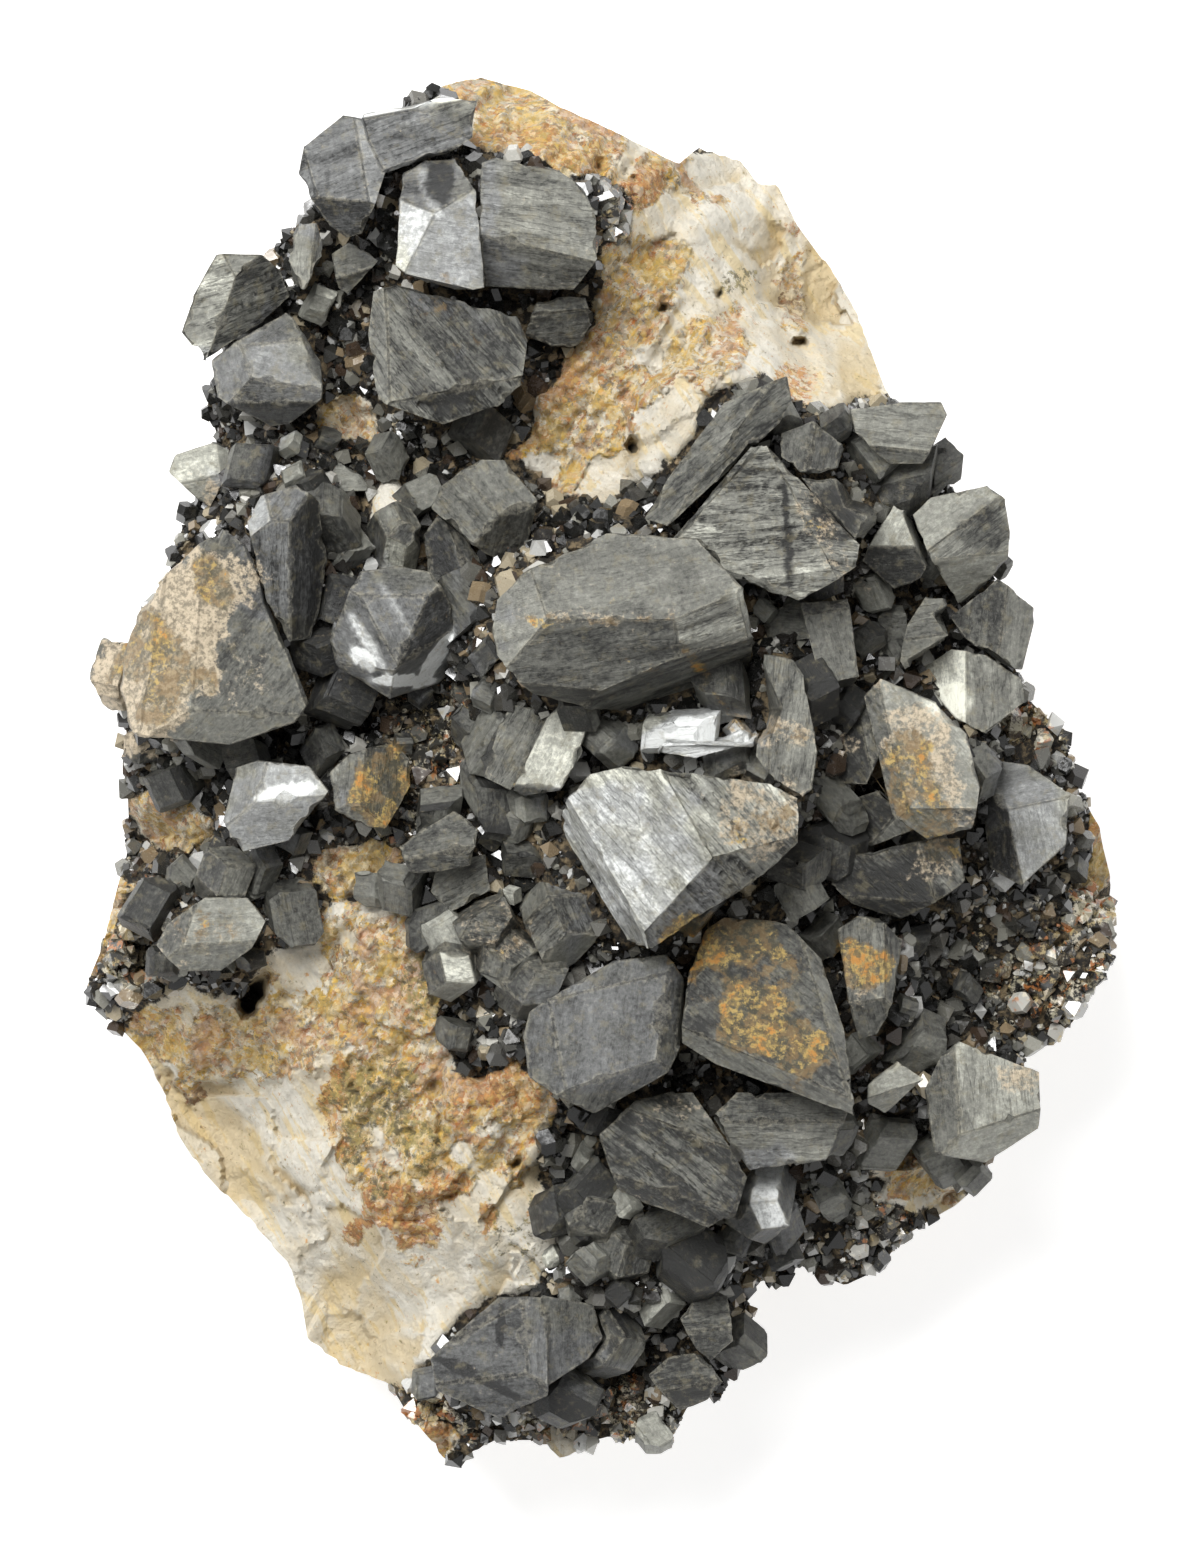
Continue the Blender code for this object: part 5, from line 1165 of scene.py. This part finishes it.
    def greys(self, value, tint):
        """A tinted grey of garnet, darker than its number from 0 to 1."""
        positions = (0.0, 0.08, 0.19, 0.38, 0.58, 0.77, 1.0)
        levels = (0.014, 0.034, 0.078, 0.155, 0.26, 0.43, 0.88)
        colours = [[level * share for share in tint] for level in levels]
        return self.blend(value, list(zip(positions, colours)))

    def palette(self, value, colours):
        """One of the colours, by a number from 0 to 1."""
        stops = [(index / len(colours), colour) for index, colour in enumerate(colours)]
        return self.blend(value, stops, "CONSTANT")

    def bump(self, height, distance, strength, below=None):
        inputs = {"Distance": distance * MM, "Strength": strength, "Height": height}
        return self.add("Bump", inputs if below is None else {**inputs, "Normal": below})


def garnet_material():
    """Satin olive or slate grey garnet: fine striae with painted light and shade, thin pale edges that are
    partly wear and partly painted highlight, face tones that are mostly painted light, shade and reflection,
    tan dust and ochre stains.
    """
    n = Nodes("garnet")
    grain = n.attribute("grain", "Vector")
    place = n.place()
    fine = n.striae(grain, (0.3, 2.6, 1.7), 5.0, 0.7)
    long = n.striae(grain, (0.2, 1.3, 1.7), 5.0, 0.65)
    coarse = n.ramp(n.attribute("coarse"), 0.2, 1.5, 0.25, 1.0)
    calm = n.math("MULTIPLY", coarse, n.ramp(n.attribute("tone"), 0.7, 1.1, 1.0, 0.6))
    cloud = n.noise(place, 0.35, 5.0, 0.65)
    speck = n.noise(place, 2.2, 8.0, 0.78)
    # Painted light and shade of the striae: the ridges value and thin light lines lighten the ridges, dark
    # cut lines and the grooves darken the grooves
    cuts = n.lines(n.shifted(grain, 31), (0.24, 1.5, 1.7), 0.035)
    lights = n.lines(n.shifted(grain, 53), (0.3, 1.9, 1.7), 0.03)
    grooved = n.varied(n.centred(n.attribute("ridges"), 0.6), (long, 0.4))
    grooved = n.math("ADD", grooved, n.math("MULTIPLY", lights, 0.16))
    grooved = n.math("SUBTRACT", grooved, n.math("MULTIPLY", cuts, 0.4))
    grooved = n.math("MULTIPLY", n.varied(grooved, (fine, 0.9)), calm)
    # Tone: mostly the faces' painted light, shade and reflection from the tables, with clouds, specks and the
    # striae's painted light and shade
    tone = n.math("ADD", n.varied("tone", (cloud, 0.55), (speck, 1.4)), grooved)
    tone = n.math("DIVIDE", tone, 1.3, True)
    slate = n.ramp(n.varied("slate", (cloud, 1.5)), 0.1, 0.9)
    body = n.mix(slate, n.greys(tone, (1.0, 1.0, 0.86)), n.greys(tone, (0.97, 0.99, 0.97)))
    olive = n.noise(n.shifted(place, 35), 0.9, 7.0, 0.7)
    body = n.layered(body, (olive, 0.52, 0.66, 0.35, (0.24, 0.21, 0.125)))
    # Thin pale edges: partly wear, partly a painted highlight along the crystals' edges
    edge = n.math("MULTIPLY", n.ramp(n.attribute("wear"), 0.45, 1.0), n.ramp(speck, 0.42, 0.6))
    body = n.mix(n.math("MULTIPLY", edge, 0.4), body, (0.4, 0.37, 0.28))
    patch = n.noise(n.shifted(place, 20), 0.8, 7.0, 0.72)
    streak = n.striae(n.shifted(grain, 9), (0.3, 1.1, 1.7), 6.0, 0.7)
    zone = n.noise(n.shifted(place, 50), 0.32, 4.0, 0.6)
    dust = n.layered((0.24, 0.2, 0.135), (speck, 0.42, 0.56, 1.0, (0.58, 0.48, 0.34)))
    film = n.layered((0.07, 0.062, 0.033), (patch, 0.47, 0.55, 1.0, (0.2, 0.125, 0.045)),
                     (speck, 0.5, 0.58, 0.5, (0.3, 0.24, 0.12)))
    ochre = n.layered((0.2, 0.14, 0.05), (speck, 0.46, 0.58, 1.0, (0.5, 0.35, 0.1)))
    stain = n.varied("stain", (streak, 1.6))
    heavy = n.varied(stain, (zone, 4.5), (speck, 3.0))
    body = n.layered(
        body, (n.varied("dust", (patch, 2.4), (speck, 2.4)), 0.4, 1.0, 0.9, dust),
        (n.varied(stain, (patch, 3.0)), 0.5, 1.1, 0.75, film), (heavy, 1.15, 1.55, 0.8, ochre),
        (n.varied(heavy, (patch, 4.0)), 1.75, 2.15, 0.8, (0.5, 0.21, 0.03)))
    rough = n.ramp(n.attribute("polish"), 0.0, 1.0, 0.5, 0.32)
    rough = n.math("ADD", rough, n.ramp(speck, 0.4, 0.6, 0.0, 0.12))
    bumps = n.bump(n.math("MULTIPLY", fine, coarse), 0.25, 0.8)
    cut = n.math("SUBTRACT", long, n.math("MULTIPLY", cuts, 0.2))
    bumps = n.bump(n.math("MULTIPLY", cut, coarse), 0.45, 0.7, bumps)
    bumps = n.bump(speck, 0.3, 0.7, bumps)
    return n.finish({"Base Color": body, "Roughness": rough, "IOR": 1.62, "Normal": bumps})


def druse_material():
    """Glossy black druse with brown, grey, tan and pale crystals among the black ones; the palest are painted
    glints, and sheltered ones are darker as painted shade.
    """
    n = Nodes("druse")
    place = n.place()
    speck = n.noise(place, 1.6, 5.0, 0.7)
    # The colour picked by polish: lower in sheltered places as painted shade, and the palest greys at the end
    # are painted glints
    body = n.palette(n.attribute("polish"), [
        (0.008, 0.008, 0.007), (0.012, 0.012, 0.011), (0.018, 0.016, 0.014), (0.03, 0.029, 0.025),
        (0.045, 0.03, 0.02), (0.05, 0.048, 0.042), (0.1, 0.098, 0.085), (0.16, 0.155, 0.13),
        (0.2, 0.15, 0.09), (0.13, 0.125, 0.11), (0.24, 0.235, 0.2), (0.34, 0.29, 0.2), (0.42, 0.41, 0.37),
        (0.46, 0.46, 0.44)])
    ochre = n.palette(n.grains(place, 1.3), [
        (0.46, 0.36, 0.18), (0.34, 0.31, 0.21), (0.4, 0.15, 0.04), (0.66, 0.6, 0.46), (0.16, 0.13, 0.08)])
    rusty = n.ramp(n.varied("dust", (speck, 3.0)), 0.6, 1.0)
    body = n.mix(n.math("MULTIPLY", rusty, 0.8), body, ochre)
    return n.finish({"Base Color": body, "Roughness": n.ramp(speck, 0.35, 0.65, 0.1, 0.35), "IOR": 1.8})


def rock_material():
    """Cream rock with ochre and rust grains; painted shade makes its low places tan and its hollows near
    black, and it is near black under the druse: the druse's own black and painted shade between its crystals.
    """
    n = Nodes("rock")
    place = n.place()
    broad = n.noise(place, 0.16, 5.0, 0.6)
    fine = n.noise(place, 1.1, 8.0, 0.72)
    grit = n.noise(place, 3.0, 4.0, 0.7)
    patch = n.noise(place, 1.2, 8.0, 0.75)
    other = n.noise(n.shifted(place, 40), 1.4, 8.0, 0.75)
    zone = n.noise(n.shifted(place, 70), 0.3, 3.0, 0.6)
    streak = n.noise(n.turned(place, -52, (0.35, 1.5, 0.8)), 1.0, 9.0, 0.72)
    veins = n.noise(n.turned(place, 58, (0.12, 0.9, 0.5)), 1.0, 7.0, 0.62)
    seeds = n.grains(place, 1.9)
    # Painted shade by depth: tan in the cream's low places, dark brown in the ochre's pits, near black in the
    # deep hollows
    low = n.attribute("low")
    cream = n.layered(
        (0.82, 0.73, 0.56), (broad, 0.42, 0.58, 1.0, (0.93, 0.88, 0.76)),
        (veins, 0.5, 0.62, 0.5, (0.7, 0.66, 0.56)), (veins, 0.46, 0.38, 0.7, (0.88, 0.7, 0.36)),
        (other, 0.56, 0.62, 0.4, (0.6, 0.5, 0.34)), (low, 0.2, 1.0, 0.6, (0.72, 0.54, 0.25)))
    ochre = n.layered(
        (0.62, 0.42, 0.18), (patch, 0.45, 0.52, 1.0, (0.9, 0.8, 0.58)),
        (streak, 0.53, 0.57, 1.0, (0.9, 0.57, 0.1)), (other, 0.55, 0.59, 1.0, (0.42, 0.4, 0.36)),
        (streak, 0.44, 0.4, 1.0, (0.6, 0.2, 0.05)), (other, 0.42, 0.38, 1.0, (0.9, 0.85, 0.72)))
    ochre = n.mix(0.5, ochre, n.palette(seeds, [
        (0.66, 0.46, 0.18), (0.2, 0.13, 0.07), (0.9, 0.84, 0.7), (0.55, 0.22, 0.06), (0.76, 0.62, 0.4),
        (0.42, 0.4, 0.36), (0.84, 0.58, 0.14), (0.1, 0.07, 0.05)]))
    ochre = n.layered(
        ochre, (zone, 0.52, 0.62, 0.45, (0.76, 0.53, 0.14)), (zone, 0.48, 0.38, 0.45, (0.66, 0.36, 0.2)),
        (low, 0.25, 1.2, 0.75, (0.2, 0.1, 0.04)))
    rust = n.layered((0.34, 0.1, 0.03), (fine, 0.45, 0.55, 1.0, (0.76, 0.34, 0.1)),
                     (patch, 0.52, 0.56, 0.9, (0.78, 0.54, 0.18)))
    rust = n.mix(0.5, rust, n.palette(seeds, [
        (0.44, 0.13, 0.04), (0.84, 0.56, 0.2), (0.16, 0.07, 0.03), (0.88, 0.76, 0.58), (0.66, 0.22, 0.06)]))
    olive = n.layered((0.1, 0.09, 0.05), (fine, 0.42, 0.58, 1.0, (0.42, 0.34, 0.12)))
    body = n.layered(
        cream, (n.varied("ochre", (fine, 3.0)), 0.3, 0.6, 1.0, ochre),
        (n.varied("rust", (patch, 6.0)), 0.6, 1.0, 0.85, rust),
        (n.varied("olive", (other, 5.0)), 0.5, 0.9, 0.8, olive), (low, 1.1, 1.6, 1.0, (0.02, 0.015, 0.01)))
    # Near black under the druse: the druse's own black and painted shade between its crystals
    footing = n.layered((0.02, 0.017, 0.013), (fine, 0.45, 0.62, 1.0, (0.24, 0.18, 0.1)))
    body = n.layered(footing, (n.varied("bare", (fine, 2.0)), 0.35, 0.65, 1.0, body))
    bumps = n.bump(streak, 0.6, 0.7, n.bump(fine, 0.9, 0.9))
    crumbs = n.math("MULTIPLY", seeds, n.ramp(n.attribute("ochre"), 0.2, 0.8))
    bumps = n.bump(grit, 0.2, 0.8, n.bump(crumbs, 0.7, 0.9, bumps))
    return n.finish({"Base Color": body, "Roughness": 0.85, "Normal": bumps})


def build_floor():
    """A plain pale floor, a little below the specimen."""
    n = Nodes("floor")
    finish = n.finish({"Base Color": (0.6, 0.6, 0.6), "Roughness": 0.9,
                       "Emission Color": (1, 1, 1), "Emission Strength": 0.7})
    corners = [(x, y, -0.02) for x, y in ((-900, -900), (900, -900), (900, 900), (-900, 900))]
    add_piece("floor", corners, [[0, 1, 2, 3]], finish)


def build_lights():
    """Soft light from beyond the top of the view, and a pale room."""
    data = bpy.data.lights.new("key", "AREA")
    data.size = 0.4
    data.energy = 8.4
    key = bpy.data.objects.new("key", data)
    key.location = (-0.2, 0.34, 0.66)
    key.rotation_euler = (key.location - Vector((0, 0, 0.02))).to_track_quat("Z", "Y").to_euler()
    bpy.context.scene.collection.objects.link(key)
    world = bpy.data.worlds.new("room")
    world.use_nodes = True
    background = world.node_tree.nodes["Background"]
    background.inputs["Color"].default_value = (1, 1, 1, 1)
    background.inputs["Strength"].default_value = 0.45
    bpy.context.scene.world = world
    bpy.context.scene.view_settings.view_transform = "Standard"


def build_camera():
    """A far camera straight above the specimen, which fills the height of its view."""
    view_height = 124.08
    middle = (0.16, -0.28)
    distance = 1500.0
    aim_level = 30.0
    data = bpy.data.cameras.new("camera")
    data.sensor_fit = "VERTICAL"
    data.sensor_height = 24.0
    data.lens = 24.0 * distance / view_height
    data.clip_end = 10.0
    item = bpy.data.objects.new("camera", data)
    item.location = (middle[0] * MM, middle[1] * MM, (distance + aim_level) * MM)
    bpy.context.scene.collection.objects.link(item)
    bpy.context.scene.camera = item


build_camera()
build_lights()
build_floor()
rim = rim_line()
rock = build_rock(rock_material(), rim)
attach(rock, "root")
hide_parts("matrix")
garnet_finish = garnet_material()
build_crystals(garnet_finish)
build_middling(garnet_finish, rim)
build_druse(druse_material(), rock)
